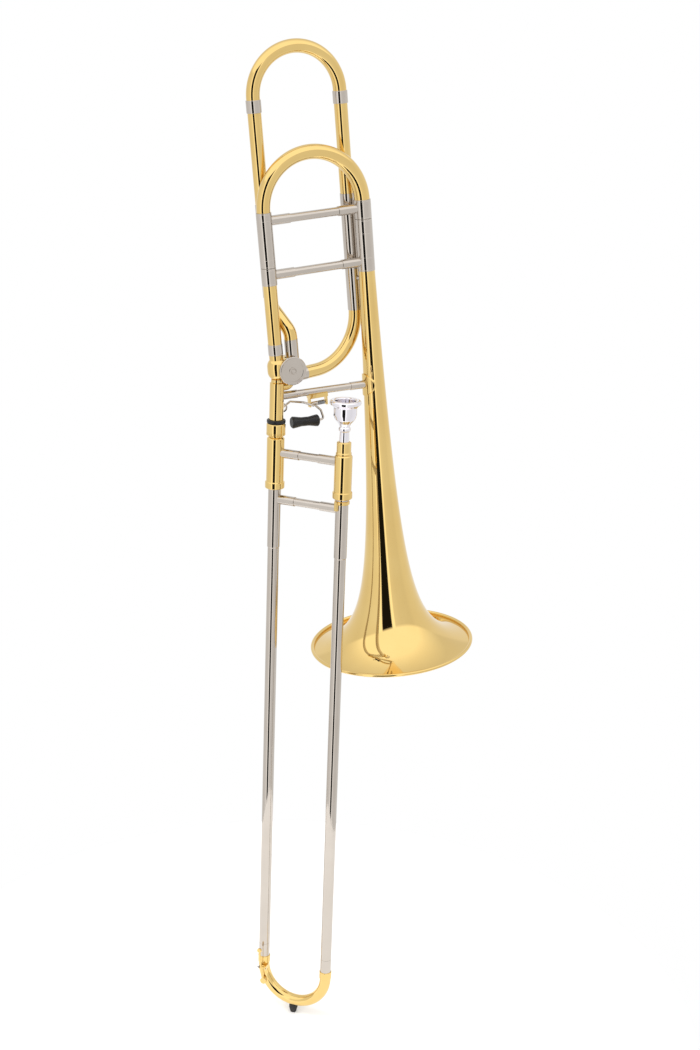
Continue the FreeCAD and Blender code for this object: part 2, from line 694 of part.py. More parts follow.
wall = size("bell_wall")
tail = size("bell_long")
STATIONS = 16
WALL_LOW = 0.8
outside = []
inside = []
for index in range(STATIONS + 1):
    height = WALL_LOW + (tail - WALL_LOW) * (index / STATIONS) ** 2.6
    outside.append(Vector(flare(height), 0, height))
    slope = flare(height + 0.5) - flare(height - 0.5)
    tilt = 1 / math.hypot(1, slope)
    inside.append(Vector(flare(height) - wall * tilt, 0, height + wall * slope * tilt))
inside[-1].z = tail
outer_line = Part.BSplineCurve()
outer_line.interpolate(outside)
inner_line = Part.BSplineCurve()
inner_line.interpolate(inside)
lip_edge = Part.LineSegment(inside[0], outside[0]).toShape()
tail_edge = Part.LineSegment(outside[-1], inside[-1]).toShape()
loop = Part.Wire([outer_line.toShape(), tail_edge, inner_line.toShape().reversed(), lip_edge])
bell = Part.Face(loop).revolve(Vector(0, 0, 0), Vector(0, 0, 1), 360)
bead_r = size("bead_od / 2")
bead = Part.makeTorus(bell_r - bead_r, bead_r, Vector(0, 0, bead_r))
bell = bell.fuse(bead)
shaped("bell", Part.Solid(bell.Solids[0]), bell_frame(size("main_spread"), 0, RIM))

# ---------------------------------------------------------------- main tuning slide

bow_arc_main = size("main_spread / 2")


def tapered_bow(left_r, right_r):
    """Half a ring of bar that widens evenly from its left end to its right end."""
    route = [Part.Arc(Vector(0, 0, 0), Vector(bow_arc_main, 0, bow_arc_main),
                      Vector(2 * bow_arc_main, 0, 0)).toShape()]
    rings = []
    for share in (0.0, 0.5, 1.0):
        angle = math.pi * share
        spot = Vector(bow_arc_main * (1 - math.cos(angle)), 0, bow_arc_main * math.sin(angle))
        along = Vector(math.sin(angle), 0, math.cos(angle))
        radius = left_r + (right_r - left_r) * share
        rings.append(Part.Wire(Part.makeCircle(radius, spot, along)))
    return Part.Wire(route).makePipeShell(rings, True, False)


main_bow = tapered_bow(size("main_bow_left_od / 2"), size("main_bow_right_od / 2"))
main_bow = main_bow.cut(tapered_bow(size("main_left_bore / 2"), size("main_right_bore / 2")))
shaped("tuning_bow", main_bow, bell_frame(0, 0, size("main_high")))
tube("tuning_sleeve_left", "left_sleeve_od", "left_leg_inner_od + 0.12", "main_seam + 0.3", "main_high",
     bell_frame())
tube("tuning_ferrule_right", "right_sleeve_od", "main_right_bore", "main_mid", "main_high",
     bell_frame(size("main_spread")))
tube("tuning_leg_right", "right_leg_inner_od", "main_right_bore", "main_low + 4", "main_mid",
     bell_frame(size("main_spread")))


for label, height in (("upper_tuning_brace", "upper_brace"), ("lower_tuning_brace", "lower_brace")):
    up = size(height)
    bar = brace((0, 0, up), (size("main_spread"), 0, up), size("cross_sleeve"))
    bar = bar.cut(Part.makeCylinder(size("left_sleeve_od / 2"), 40, Vector(0, 0, up - 20)))
    bar = bar.cut(Part.makeCylinder(size("right_sleeve_od / 2"), 40, Vector(size("main_spread"), 0, up - 20)))
    shaped(label, bar, bell_frame())

# ---------------------------------------------------------------- rotary valve

HALF = size("casing_long / 2")
ROTOR = size("rotor_od / 2")
F_BEARING = math.degrees(math.atan2(size("f_depth"), size("f_left + f_spread") - VALVE))
side_port = Vector(math.cos(math.radians(F_BEARING)), math.sin(math.radians(F_BEARING)), 0)
SIDE_DROP = Vector(0, 0, -9.0)      # the feed tube leaves the valve below its axis
side_hole = side_port + SIDE_DROP * 0.03

casing = Part.makeCylinder(CASING, 2 * HALF, Vector(VALVE, -HALF, 0), across)
casing = casing.cut(Part.makeCylinder(ROTOR + 0.06, 60, Vector(VALVE, -30, 0), across))
valve_centre = Vector(VALVE, 0, 0)
for way in (Vector(-1, 0, 0), Vector(0, 0, -1), Vector(0, 0, 1), side_hole):
    casing = casing.cut(Part.makeCylinder(PORT, 30, valve_centre, way))
shaped("valve_casing", casing, bell_frame())

SPINDLE = 3.2
CAP_THICK = 3.6
cap_r = size("cap_od / 2")
VALVE_FRONT = bell_frame(VALVE, -HALF, 0, ALONG_FRONT)
VALVE_BACK = bell_frame(VALVE, HALF, 0, ALONG_BACK)
cap = Part.makeCylinder(cap_r, CAP_THICK)
cap = cap.makeChamfer(0.5, cap.Edges)
ridge = Part.makeCylinder(cap_r - 1.8, 1.0, Vector(0, 0, CAP_THICK - 0.5))
ridge = ridge.cut(Part.makeCylinder(cap_r - 4.4, 3, Vector(0, 0, CAP_THICK - 1)))
boss = Part.makeCylinder(5.0, 1.1, Vector(0, 0, CAP_THICK - 0.5))
boss = boss.cut(Part.makeTorus(3.1, 0.7, Vector(0, 0, CAP_THICK + 0.6)))
cap = cap.fuse([ridge, boss])
cap = cap.cut(Part.makeCylinder(SPINDLE + 0.06, 2.4))
shaped("valve_front_cap", cap, VALVE_FRONT)

BACK_THICK = 3.0
plate = Part.makeCylinder(CASING, BACK_THICK)
plate = plate.makeChamfer(0.4, plate.Edges)
plate = plate.cut(Part.makeCylinder(SPINDLE + 0.06, 10, Vector(0, 0, -1)))
shaped("valve_back_plate", plate, VALVE_BACK)

BUMPER_R = 2.2
BUMPER_RING = 11.0
FINGER_HALF = 2.0
bumper_swing = 45 + math.degrees((BUMPER_R + FINGER_HALF + 0.3) / BUMPER_RING)
bumpers = []
for angle in (bumper_swing, -bumper_swing):
    spot = Vector(BUMPER_RING * math.cos(math.radians(angle)), 0, BUMPER_RING * math.sin(math.radians(angle)))
    spot = spot + Vector(VALVE, HALF + BACK_THICK, 0)
    bumpers.append(Part.makeCylinder(BUMPER_R, 3.4, spot, across))
shaped("stop_bumpers", Part.makeCompound(bumpers), bell_frame())

# The rotor has two quarter-turn passages, one each side of its spindle.
ROTOR_HALF = size("rotor_long / 2")
front_end = -HALF - 2.0
ARM_LOW = HALF + BACK_THICK + 0.5
ARM_THICK = 2.4
rotor = Part.makeCylinder(ROTOR, 2 * ROTOR_HALF, Vector(0, -ROTOR_HALF, 0), across)
rotor = rotor.fuse(rod(SPINDLE, (0, front_end, 0), (0, ARM_LOW, 0)))
for corner in (-1, 1):
    passage = Part.makeTorus(ROTOR, PORT, Vector(corner * ROTOR, 0, corner * ROTOR), across)
    rotor = rotor.cut(passage)
shaped("rotor", rotor.removeSplitter(), bell_frame(VALVE))

REACH = size("stop_arm_reach")
STUD_R = 1.3
LINK_BACK = size("lever_reach") * math.cos(math.radians(size("lever_swing") / 2))
link_spot = Vector(-REACH / math.sqrt(2), 0, -REACH / math.sqrt(2))
finger = Part.makeBox(12.6, ARM_THICK, 2 * FINGER_HALF, Vector(0, ARM_LOW, -FINGER_HALF))
finger.rotate(Vector(0, 0, 0), across, -45)
tongue = Part.makeBox(REACH, ARM_THICK, 4.6, Vector(0, ARM_LOW, -2.3))
tongue.rotate(Vector(0, 0, 0), across, 135)
hub = rod(4.4, (0, ARM_LOW, 0), (0, ARM_LOW + ARM_THICK, 0))
eye = rod(2.6, link_spot + Vector(0, ARM_LOW, 0), link_spot + Vector(0, ARM_LOW + ARM_THICK, 0))
screw = rod(2.6, (0, ARM_LOW + ARM_THICK, 0), (0, ARM_LOW + ARM_THICK + 1.2, 0))
stud = rod(STUD_R, link_spot + Vector(0, ARM_LOW, 0), link_spot + Vector(0, LINK_BACK + 2.1, 0))
head = rod(2.4, link_spot + Vector(0, LINK_BACK + 2.0, 0), link_spot + Vector(0, LINK_BACK + 3.0, 0))
arm = hub.fuse([finger, tongue, eye, stud, head, screw])
shaped("stop_arm", arm.removeSplitter(), bell_frame(VALVE))

# ---------------------------------------------------------------- link rod and thumb lever

HINGE_DOWN = -size("hinge_down")
swing = math.radians(size("lever_swing") / 2)
BALL_R = 2.2
ball_right = VALVE - REACH * (1 + 1 / math.sqrt(2)) / 2
ball_spot = Vector(ball_right, LINK_BACK, HINGE_DOWN - size("lever_reach") * math.sin(swing))
upper_eye = Vector(VALVE, LINK_BACK, 0) + link_spot
lower_eye = Vector(upper_eye.x, LINK_BACK, ball_spot.z)
LOOP_IN = BALL_R + 2.0
LOOP_OUT = LOOP_IN + 1.4
LINK_R = 1.0
EYE_R = 3.0
EYE_HALF = 1.5
LOOP_HALF = 1.3
link = rod(LINK_R, upper_eye - Vector(0, 0, 2.0), lower_eye + Vector(0, 0, LOOP_IN + 0.7))
link = link.fuse(rod(EYE_R, upper_eye - across * EYE_HALF, upper_eye + across * EYE_HALF))
link = link.fuse(rod(LOOP_OUT, lower_eye - across * LOOP_HALF, lower_eye + across * LOOP_HALF))
link = link.cut(rod(STUD_R + 0.06, upper_eye - across * 4, upper_eye + across * 4))
link = link.cut(rod(LOOP_IN, lower_eye - across * 4, lower_eye + across * 4))
shaped("valve_link", link.Solids[0], bell_frame())

ROD = size("rod_od / 2")
HINGE_LEFT = 41.0
HINGE_RIGHT = 49.0
HUB_R = 2.6
PIN = 1.3
hub = rod(HUB_R, (HINGE_LEFT, 0, HINGE_DOWN), (HINGE_RIGHT, 0, HINGE_DOWN))
back_arm = swept(rounded_route([
    (47.0, -0.5, HINGE_DOWN - 1.0),
    (41.5, -6.2, HINGE_DOWN - 1.0),
    (30.0, -3.0, HINGE_DOWN + 4.6),
    (17.5, 11.5, HINGE_DOWN + 4.6),
    tuple(ball_spot),
], 3.0), ROD)
GRIP_DOWN = -71.4
GRIP_RIGHT = 48.5
GRIP_LEAN = 5.0
thumb_arm = swept(rounded_route([
    (44.6, 0, HINGE_DOWN - 1.0),
    (53.0, 0, HINGE_DOWN - 10.0),
    (56.0, 0, GRIP_DOWN + 0.8),
    (GRIP_RIGHT - 1.0, 0, GRIP_DOWN),
    (GRIP_RIGHT - 28.0, 0, GRIP_DOWN + 2.3),
], 2.8), ROD)
lever = hub.fuse([back_arm, thumb_arm, Part.makeSphere(BALL_R, ball_spot)])
lever = lever.cut(rod(PIN + 0.06, (30, 0, HINGE_DOWN), (65, 0, HINGE_DOWN)))
shaped("thumb_lever", lever.removeSplitter(), bell_frame())

grip = lathe("thumb_grip_blank", [
    ("0", "0"),
    ("grip_od / 2 - 1.4", "0"),
    ("grip_od / 2", "1.6"),
    ("grip_od / 2 - 0.2", "grip_long * 0.1"),
    ("grip_waist_od / 2", "grip_long * 0.36"),
    ("grip_waist_od / 2", "grip_long * 0.64"),
    ("grip_od / 2 - 0.2", "grip_long * 0.9"),
    ("grip_od / 2", "grip_long - 1.6"),
    ("grip_od / 2 - 1.4", "grip_long"),
    ("0", "grip_long"),
], ORIGIN)
doc.recompute()
lean = Rotation(across, -90 + GRIP_LEAN)
grip_shape = grip.Shape.copy()
grip_shape.Placement = Placement(Vector(GRIP_RIGHT, 0, GRIP_DOWN), lean)
shaped("thumb_grip", grip_shape.cut(thumb_arm).Solids[0], bell_frame())

# ---------------------------------------------------------------- bell brace, saddle and spring

# The brace runs from the slide receiver to a rounded foot that is soldered to the bell.
BRACE_LEFT = -31.6
BRACE_RIGHT = -36.6
BRACE_SLEEVE = 27.0
FOOT_THICK = 1.6
FOOT_R = 14.0
spread = size("main_spread")
foot_up = BRACE_RIGHT - RIM
foot = flare_bar(foot_up - 30, foot_up + 30, FOOT_THICK)
foot = foot.common(rod(FOOT_R, (spread - 30, 0, BRACE_RIGHT), (spread - 5, 0, BRACE_RIGHT)))
bell_bar = flare_bar(foot_up - 40, foot_up + 40, 0.02)
foot = foot.cut(bell_bar)
foot = max(foot.Solids, key=lambda piece: piece.Volume)
bar = brace((-4, 0, BRACE_LEFT), (spread - 6, 0, BRACE_RIGHT), BRACE_SLEEVE,
            "bell_brace_od", "bell_brace_sleeve_od")
bar = bar.cut([receiver_bar(size("receiver_od / 2"), 60, 134), foot, bell_bar])
bar = max(bar.Solids, key=lambda piece: piece.Volume)
shaped("bell_brace", bar, bell_frame())
shaped("bell_brace_foot", foot, bell_frame())

# The trigger's saddle hangs under the brace, and its two ears hold the hinge pin.
SADDLE_LEFT = 37.6
SADDLE_RIGHT = 62.0
SADDLE_DEEP = 11.0
SADDLE_LOW = -41.4
SADDLE_TALL = 5.2
EAR = 2.0
EAR_DEEP = 6.4
EAR_LOW = -52.4
EAR_HIGH = -40.4
GAP_HIGH = -43.4
PIN_OVER = 0.8
saddle = Part.makeBox(SADDLE_RIGHT - SADDLE_LEFT, SADDLE_DEEP, SADDLE_TALL,
                      Vector(SADDLE_LEFT, -SADDLE_DEEP / 2, SADDLE_LOW))
for left in (SADDLE_LEFT, SADDLE_RIGHT - EAR):
    ear = Part.makeBox(EAR, EAR_DEEP, EAR_HIGH - EAR_LOW, Vector(left, -EAR_DEEP / 2, EAR_LOW))
    saddle = saddle.fuse(ear)
gap = Part.makeBox(SADDLE_RIGHT - SADDLE_LEFT - 2 * EAR, 30, GAP_HIGH - EAR_LOW,
                   Vector(SADDLE_LEFT + EAR, -15, EAR_LOW))
saddle = saddle.cut([gap, rod(PIN, (30, 0, HINGE_DOWN), (70, 0, HINGE_DOWN)), bar])
saddle = max(saddle.Solids, key=lambda piece: piece.Volume)
shaped("trigger_saddle", saddle, bell_frame())
pin = rod(PIN, (SADDLE_LEFT - PIN_OVER, 0, HINGE_DOWN), (SADDLE_RIGHT + PIN_OVER, 0, HINGE_DOWN))
shaped("trigger_pin", pin, bell_frame())
shaped("trigger_spring", coil(2.3, 0.6, 1.5, 6), bell_frame(49.9, 0, HINGE_DOWN, ALONG_RIGHT))

# ---------------------------------------------------------------- F attachment tubing

F_LEFT = size("f_left")
F_RIGHT = size("f_left + f_spread")
F_BACK = size("f_depth")
F_R = size("f_tube_od / 2")
F_BORE = size("f_tube_bore / 2")
FERRULE_R = 8.5
PORT_TUBE = 7.0
TOP_END = 37.0
SIDE_START = 9.0
SIDE_END = 23.0

F_PORT = size("f_port_right")
top_ferrule = Part.makeCylinder(FERRULE_R, TOP_END, Vector(F_PORT, 0, 0))
top_ferrule = top_ferrule.cut([Part.makeCylinder(PORT_TUBE, TOP_END + 5, Vector(F_PORT, 0, 0)), casing_bar])
side_start = valve_centre + SIDE_DROP + side_port * SIDE_START
side_ferrule = Part.makeCylinder(FERRULE_R, SIDE_END - SIDE_START, side_start, side_port)
side_bore = Part.makeCylinder(PORT_TUBE, SIDE_END, side_start, side_port)
side_ferrule = side_ferrule.cut([side_bore, casing_bar])
shaped("f_port_ferrules", Part.makeCompound([top_ferrule.Solids[0], side_ferrule.Solids[0]]), bell_frame())

low_end = size("f_low_left")
return_route = rounded_route([(F_PORT, 0, TOP_END), (F_PORT, 0, TOP_END + 9),
                              (F_LEFT, F_BACK, low_end - 11), (F_LEFT, F_BACK, low_end)], 20)
f_return = swept(return_route, F_R).cut(swept(return_route, F_BORE))
shaped("f_return_tube", f_return, bell_frame())

side_reach = math.hypot(F_RIGHT - VALVE, F_BACK)
feed_high = size("f_low_right")
feed_rise = feed_high - SIDE_DROP.z
feed_corner = valve_centre + SIDE_DROP + side_port * side_reach
feed_route = rounded_route([valve_centre + SIDE_DROP + side_port * SIDE_END, feed_corner,
                            feed_corner + Vector(0, 0, feed_rise)], feed_rise - 0.5)
f_feed = swept(feed_route, F_R).cut(swept(feed_route, F_BORE))
shaped("f_feed_tube", f_feed, bell_frame())

outer_legs = []
for right, low in ((F_LEFT, "f_low_left"), (F_RIGHT, "f_low_right")):
    spot = Vector(right, F_BACK, size(low))
    long = size(f"f_joint - 0.3 - {low}")
    leg = Part.makeCylinder(size("f_outer_od / 2"), long, spot)
    outer_legs.append(leg.cut(Part.makeCylinder(size("f_outer_bore / 2"), long, spot)))
shaped("f_outer_legs", Part.makeCompound(outer_legs), bell_frame())

half_bow("f_bow", "f_tube_od", "f_tube_bore", "f_spread", "1",
         bell_frame(size("f_left + f_spread / 2"), F_BACK, size("f_high") + 1))
rings = []
legs = []
sliders = []
for right in (F_LEFT, F_RIGHT):
    ring = Part.makeCylinder(size("f_ferrule_od / 2"), size("f_high - f_ferrule_low"),
                             Vector(right, F_BACK, size("f_ferrule_low")))
    ring = ring.makeChamfer(0.4, ring.Edges)
    bore = Part.makeCylinder(F_BORE, 400, Vector(right, F_BACK, 0))
    rings.append(ring.cut(bore))
    leg = Part.makeCylinder(F_R, size("f_ferrule_low - f_joint"), Vector(right, F_BACK, size("f_joint")))
    legs.append(leg.cut(bore))
    slider = Part.makeCylinder(size("f_inner_od / 2"), size("f_inner_long"),
                               Vector(right, F_BACK, size("f_joint - f_inner_long")))
    sliders.append(slider.cut(bore))
shaped("f_bow_ferrules", Part.makeCompound(rings), bell_frame())
shaped("f_slide_legs", Part.makeCompound(legs), bell_frame())
shaped("f_inner_legs", Part.makeCompound(sliders), bell_frame())

# Two short stays hold the F tubing to the main tubing.
STAY_UP = 96.0
STAY_R = 3.0
leg_bar = Part.makeCylinder(size("leg_od / 2") + 0.01, 40, Vector(0, 0, STAY_UP - 20))
tail_bar = flare_bar(STAY_UP - RIM - 9, STAY_UP - RIM + 9, 0.02)
stays = []
for near, right, near_bar in ((0, F_LEFT, leg_bar), (spread, F_RIGHT, tail_bar)):
    stay = rod(STAY_R, (near, 0, STAY_UP), (right, F_BACK, STAY_UP))
    far_bar = Part.makeCylinder(size("f_outer_od / 2"), 40, Vector(right, F_BACK, STAY_UP - 20))
    stay = stay.cut([near_bar, far_bar])
    stays.append(max(stay.Solids, key=lambda piece: piece.Volume))
shaped("f_stays", Part.makeCompound(stays), bell_frame())

# ---------------------------------------------------------------- check and write

doc.recompute()
for thing in doc.Objects:
    if "Invalid" in thing.State or "Error" in thing.State:
        raise RuntimeError(f"{thing.Label} failed: {thing.State}")
for piece in SUBPARTS:
    if piece.Shape.isNull() or not piece.Shape.isValid() or not piece.Shape.Solids:
        raise RuntimeError(f"{piece.Label} has no valid solid")

os.makedirs("parts", exist_ok=True)
for piece in SUBPARTS:
    piece.Shape.exportStep(f"parts/{piece.Label}.step")
    print(f"{piece.Label:24s} solids {len(piece.Shape.Solids)} volume {piece.Shape.Volume:10.1f}")
print(len(SUBPARTS), "sub-parts")
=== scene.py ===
# %% [markdown]
# # A tenor trombone with an F attachment
#
# This lesson gives a trombone its looks around a model whose sizes and joints are already fixed. The fixed
# model is loaded first. Its straight tubes keep their meshes and get better finishes. The turned rings,
# the bent bows, the bell, the springs and the mouthpiece are made again with the small roundings, lines and
# curves that a brass worker leaves on them, each one measured from the fixed model's own piece.

# %% Load the fixed model
import json
import math

import bmesh
import bpy
import numpy as np
from mathutils import Matrix, Vector


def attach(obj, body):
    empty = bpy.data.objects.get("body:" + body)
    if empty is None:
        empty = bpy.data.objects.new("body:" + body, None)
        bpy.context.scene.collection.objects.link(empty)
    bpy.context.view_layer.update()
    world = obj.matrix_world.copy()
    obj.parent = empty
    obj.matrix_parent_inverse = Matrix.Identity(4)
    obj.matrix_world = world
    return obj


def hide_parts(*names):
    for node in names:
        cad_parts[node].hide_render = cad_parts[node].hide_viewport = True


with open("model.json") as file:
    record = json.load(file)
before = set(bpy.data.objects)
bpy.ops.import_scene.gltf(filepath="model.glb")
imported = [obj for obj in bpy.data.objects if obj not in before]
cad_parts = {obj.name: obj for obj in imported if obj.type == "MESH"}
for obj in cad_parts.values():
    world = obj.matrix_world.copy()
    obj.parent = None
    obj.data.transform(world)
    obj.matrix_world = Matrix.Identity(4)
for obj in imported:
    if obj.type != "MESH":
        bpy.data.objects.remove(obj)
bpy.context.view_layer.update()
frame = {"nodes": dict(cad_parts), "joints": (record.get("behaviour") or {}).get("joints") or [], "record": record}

MM = 0.001
UM = 0.000001
MERGE = 0.0005 * MM
SAME_POINT = 0.02 * MM
NODES = frame["nodes"]
JOINTS = {joint["name"]: joint for joint in frame["joints"]}
BODY_OF = {node: body for body, members in frame["record"]["behaviour"]["bodies"].items()
           for node in members}
SLOT_OF = {part["node"]: part["material_slot"] for part in frame["record"]["subparts"]}

# %% [markdown]
# ## One helper for nodes
#
# Materials and Geometry Nodes are both trees of nodes. One small function is enough to add a node, set its
# values and link its inputs, so that each tree below reads as a list of what it is made of.

# %% Node and colour helpers


def add(tree, kind, settings=None, links=None):
    """Add a node. Settings are properties or input values, links are inputs fed by other outputs."""
    node = tree.nodes.new(kind)
    for name, value in (settings or {}).items():
        if isinstance(name, int) or name in node.inputs:
            node.inputs[name].default_value = value
        else:
            setattr(node, name, value)
    for name, source in (links or {}).items():
        tree.links.new(source, node.inputs[name])
    return node


def linear(code, strength=1.0):
    """An sRGB hex colour as the linear RGBA that shaders use."""
    parts = [int(code[place:place + 2], 16) / 255 for place in (1, 3, 5)]
    lit = [part / 12.92 if part <= 0.04045 else ((part + 0.055) / 1.055) ** 2.4 for part in parts]
    return (lit[0] * strength, lit[1] * strength, lit[2] * strength, 1.0)


# %% [markdown]
# ## Metals
#
# Polished metal has hardly any colour of its own: what the eye reads is the room in it, tinted. So each
# metal here is a tint, a little change of tint where the lacquer is thicker, a roughness that differs in
# patches where the buffing wheel or a hand has been, very fine lines left by the lathe, and a slow waviness
# of the sheet itself, a few hundredths of a millimetre high, that keeps long reflections from being ruled.

# %% A function for turned and polished metal


def polished_metal(name, tints, roughness, patch_mm, line_mm, wave_um, coat=0.0, coat_roughness=0.03):
    """tints: two sRGB colours; roughness: low and high; patch, line: sizes of the pattern; wave: height."""
    material = bpy.data.materials.new(name)
    material.use_nodes = True
    tree = material.node_tree
    shader = tree.nodes["Principled BSDF"]
    shader.inputs["Metallic"].default_value = 1.0
    shader.inputs["Coat Weight"].default_value = coat
    shader.inputs["Coat Roughness"].default_value = coat_roughness
    place = add(tree, "ShaderNodeTexCoord").outputs["Object"]

    patches = add(tree, "ShaderNodeTexNoise", {"Scale": 1 / (patch_mm * MM), "Detail": 3.0},
                  {"Vector": place})
    tint = add(tree, "ShaderNodeMix", {"data_type": "RGBA", 6: linear(tints[0]), 7: linear(tints[1])},
               {"Factor": patches.outputs["Fac"]})
    tree.links.new(tint.outputs["Result"], shader.inputs["Base Color"])

    rubbed = add(tree, "ShaderNodeTexNoise",
                 {"Scale": 6 / (patch_mm * MM), "Detail": 6.0, "Roughness": 0.65},
                 {"Vector": place})
    gloss = add(tree, "ShaderNodeMapRange", {"From Min": 0.35, "From Max": 0.7,
                                             "To Min": roughness[0], "To Max": roughness[1]},
                {"Value": rubbed.outputs["Fac"]})
    tree.links.new(gloss.outputs["Result"], shader.inputs["Roughness"])

    # The lathe's lines run round the tubes, so the pattern is fine along Z and long across it.
    rounds = add(tree, "ShaderNodeMapping", {"Scale": (0.02, 0.02, 1.0)}, {"Vector": place})
    lines = add(tree, "ShaderNodeTexNoise", {"Scale": 1 / (line_mm * MM), "Detail": 2.0},
                {"Vector": rounds.outputs["Vector"]})
    fine = add(tree, "ShaderNodeBump", {"Distance": 0.25 * UM}, {"Height": lines.outputs["Fac"]})
    sheet = add(tree, "ShaderNodeTexNoise", {"Scale": 1 / (22 * MM), "Detail": 1.0}, {"Vector": place})
    wave = add(tree, "ShaderNodeBump", {"Distance": wave_um * UM},
               {"Height": sheet.outputs["Fac"], "Normal": fine.outputs["Normal"]})
    tree.links.new(wave.outputs["Normal"], shader.inputs["Normal"])
    return material


# %% [markdown]
# Yellow brass under clear lacquer is the warm gold of the bell and bows, and the lacquer adds its own
# sharp, colourless gloss on top. Nickel silver is a warm grey alloy without lacquer, a little softer in the
# sleeves and braces. The inner slide is hard chrome. The mouthpiece is plated with silver, the brightest
# metal here. The valve's inner parts are bare brass that has dulled.

# %% The metals
FINISH = {}
FINISH["lacquered_brass"] = polished_metal(
    "lacquered_yellow_brass", ("#EDD08A", "#E2BE74"), (0.02, 0.05), 60, 0.35, 18, coat=0.2)
FINISH["nickel_silver"] = polished_metal(
    "polished_nickel_silver", ("#CCC4BB", "#C0B7AD"), (0.04, 0.09), 35, 0.3, 14)
FINISH["chrome_tube"] = polished_metal(
    "hard_chrome", ("#CDD0D2", "#C4C8CB"), (0.03, 0.07), 40, 0.3, 10)
FINISH["raw_brass"] = polished_metal(
    "bare_dulled_brass", ("#C9A45E", "#A9854A"), (0.22, 0.38), 9, 0.4, 15)
FINISH["silver_plate"] = polished_metal(
    "bright_silver_plate", ("#F1EEF2", "#E6E3EA"), (0.03, 0.08), 30, 0.3, 8)
FINISH["spring_steel"] = polished_metal(
    "drawn_spring_steel", ("#B4B6BA", "#8F9297"), (0.16, 0.3), 3, 0.2, 5)
print("metals:", ", ".join(material.name for material in FINISH.values()))

# %% [markdown]
# ## Soft and dark finishes
#
# The thumb roller and the ring under the receiver are moulded black plastic: not quite black, with a fine
# satin grain that spreads the highlight. The slide's tip is rubber, duller and slightly dusty. Cork is made
# of grains about a millimetre across with dark gaps, and felt is a mat of short fibres.

# %% A function for grained, non-metal finishes


def grained(name, tints, roughness, grain_mm, relief_um, texture="ShaderNodeTexNoise"):
    """A moulded or pressed finish: colour, roughness and relief all follow one grain."""
    material = bpy.data.materials.new(name)
    material.use_nodes = True
    tree = material.node_tree
    shader = tree.nodes["Principled BSDF"]
    place = add(tree, "ShaderNodeTexCoord").outputs["Object"]
    grain = add(tree, texture, {"Scale": 1 / (grain_mm * MM)}, {"Vector": place}).outputs[0]
    dust = add(tree, "ShaderNodeTexNoise", {"Scale": 1 / (12 * grain_mm * MM), "Detail": 4.0},
               {"Vector": place})
    blend = add(tree, "ShaderNodeMath", {"operation": "MULTIPLY"}, {0: grain, 1: dust.outputs["Fac"]})
    spread = add(tree, "ShaderNodeMapRange", {"From Min": 0.1, "From Max": 0.45},
                 {"Value": blend.outputs[0]})
    tint = add(tree, "ShaderNodeMix", {"data_type": "RGBA", 6: linear(tints[0]), 7: linear(tints[1])},
               {"Factor": spread.outputs["Result"]})
    tree.links.new(tint.outputs["Result"], shader.inputs["Base Color"])
    gloss = add(tree, "ShaderNodeMapRange", {"To Min": roughness[0], "To Max": roughness[1]},
                {"Value": dust.outputs["Fac"]})
    tree.links.new(gloss.outputs["Result"], shader.inputs["Roughness"])
    bump = add(tree, "ShaderNodeBump", {"Distance": relief_um * UM}, {"Height": grain})
    tree.links.new(bump.outputs["Normal"], shader.inputs["Normal"])
    return material


# %% [markdown]
# Each grain size is the real one in millimetres, and each relief is in thousandths of a millimetre.

# %% The grained finishes
FINISH["black_plastic"] = grained("moulded_black_plastic", ("#060607", "#0F0F10"), (0.3, 0.48), 0.35, 9)
FINISH["black_rubber"] = grained("black_rubber", ("#151516", "#2B2A29"), (0.55, 0.8), 0.5, 25)
FINISH["cork"] = grained(
    "natural_cork", ("#7E5530", "#C79A62"), (0.7, 0.9), 0.9, 80, "ShaderNodeTexVoronoi")
FINISH["felt"] = grained("wool_felt", ("#B9B2A2", "#E2DCCD"), (0.85, 0.98), 0.25, 90)
for node, piece in NODES.items():
    for place in piece.material_slots:
        place.material = FINISH[SLOT_OF[node]]
print("finishes on all", len(NODES), "pieces")

# %% [markdown]
# ## Where the pieces stand
#
# The instrument has two straight directions. The hand slide stands on Z. The bell section leans away from
# it, and its own axes can be read from the joints: the tuning slide moves along the legs, the rotor turns
# about the line from front to back, and the thumb lever about the line towards the bell.

# %% Frames from the joints


def standing(axis_up, axis_back, origin):
    """A matrix whose Z is axis_up and whose Y is axis_back."""
    up = Vector(axis_up).normalized()
    back = Vector(axis_back).normalized()
    right = back.cross(up)
    rows = Matrix((right, back, up)).transposed().to_4x4()
    return Matrix.Translation(origin) @ rows


SLIDE = standing((0, 0, 1), (0, 1, 0), (0, 0, 0))
BELL_FRAME = standing(JOINTS["main_tuning"]["axis"], JOINTS["rotor_turn"]["axis"],
                      JOINTS["rotor_turn"]["pos_m"])
ACROSS = Matrix.Rotation(math.radians(90), 4, "Y")


def points_of(node, seat):
    """The corners of a fixed piece, seen from a frame."""
    spots = np.array([corner.co for corner in NODES[node].data.vertices])
    local = np.array(seat.inverted())
    return spots @ local[:3, :3].T + local[:3, 3]


def span(node, seat):
    """Lowest and highest corner of a fixed piece, seen from a frame."""
    spots = points_of(node, seat)
    return spots.min(axis=0), spots.max(axis=0)


low, high = span("bell", BELL_FRAME)
wide, deep, long = ((high - low) / MM).round(1)
print("the bell is", wide, "mm wide and", long, "mm long")

# %% [markdown]
# ## Finishing a piece
#
# Every new piece goes the same way: its mesh takes its place, its faces are checked to point outwards, the
# shading is smooth except across real edges, and it rides on the body of the fixed piece it stands for.

# %% Finish and hand over a mesh
SHARP = math.radians(34)
made = []


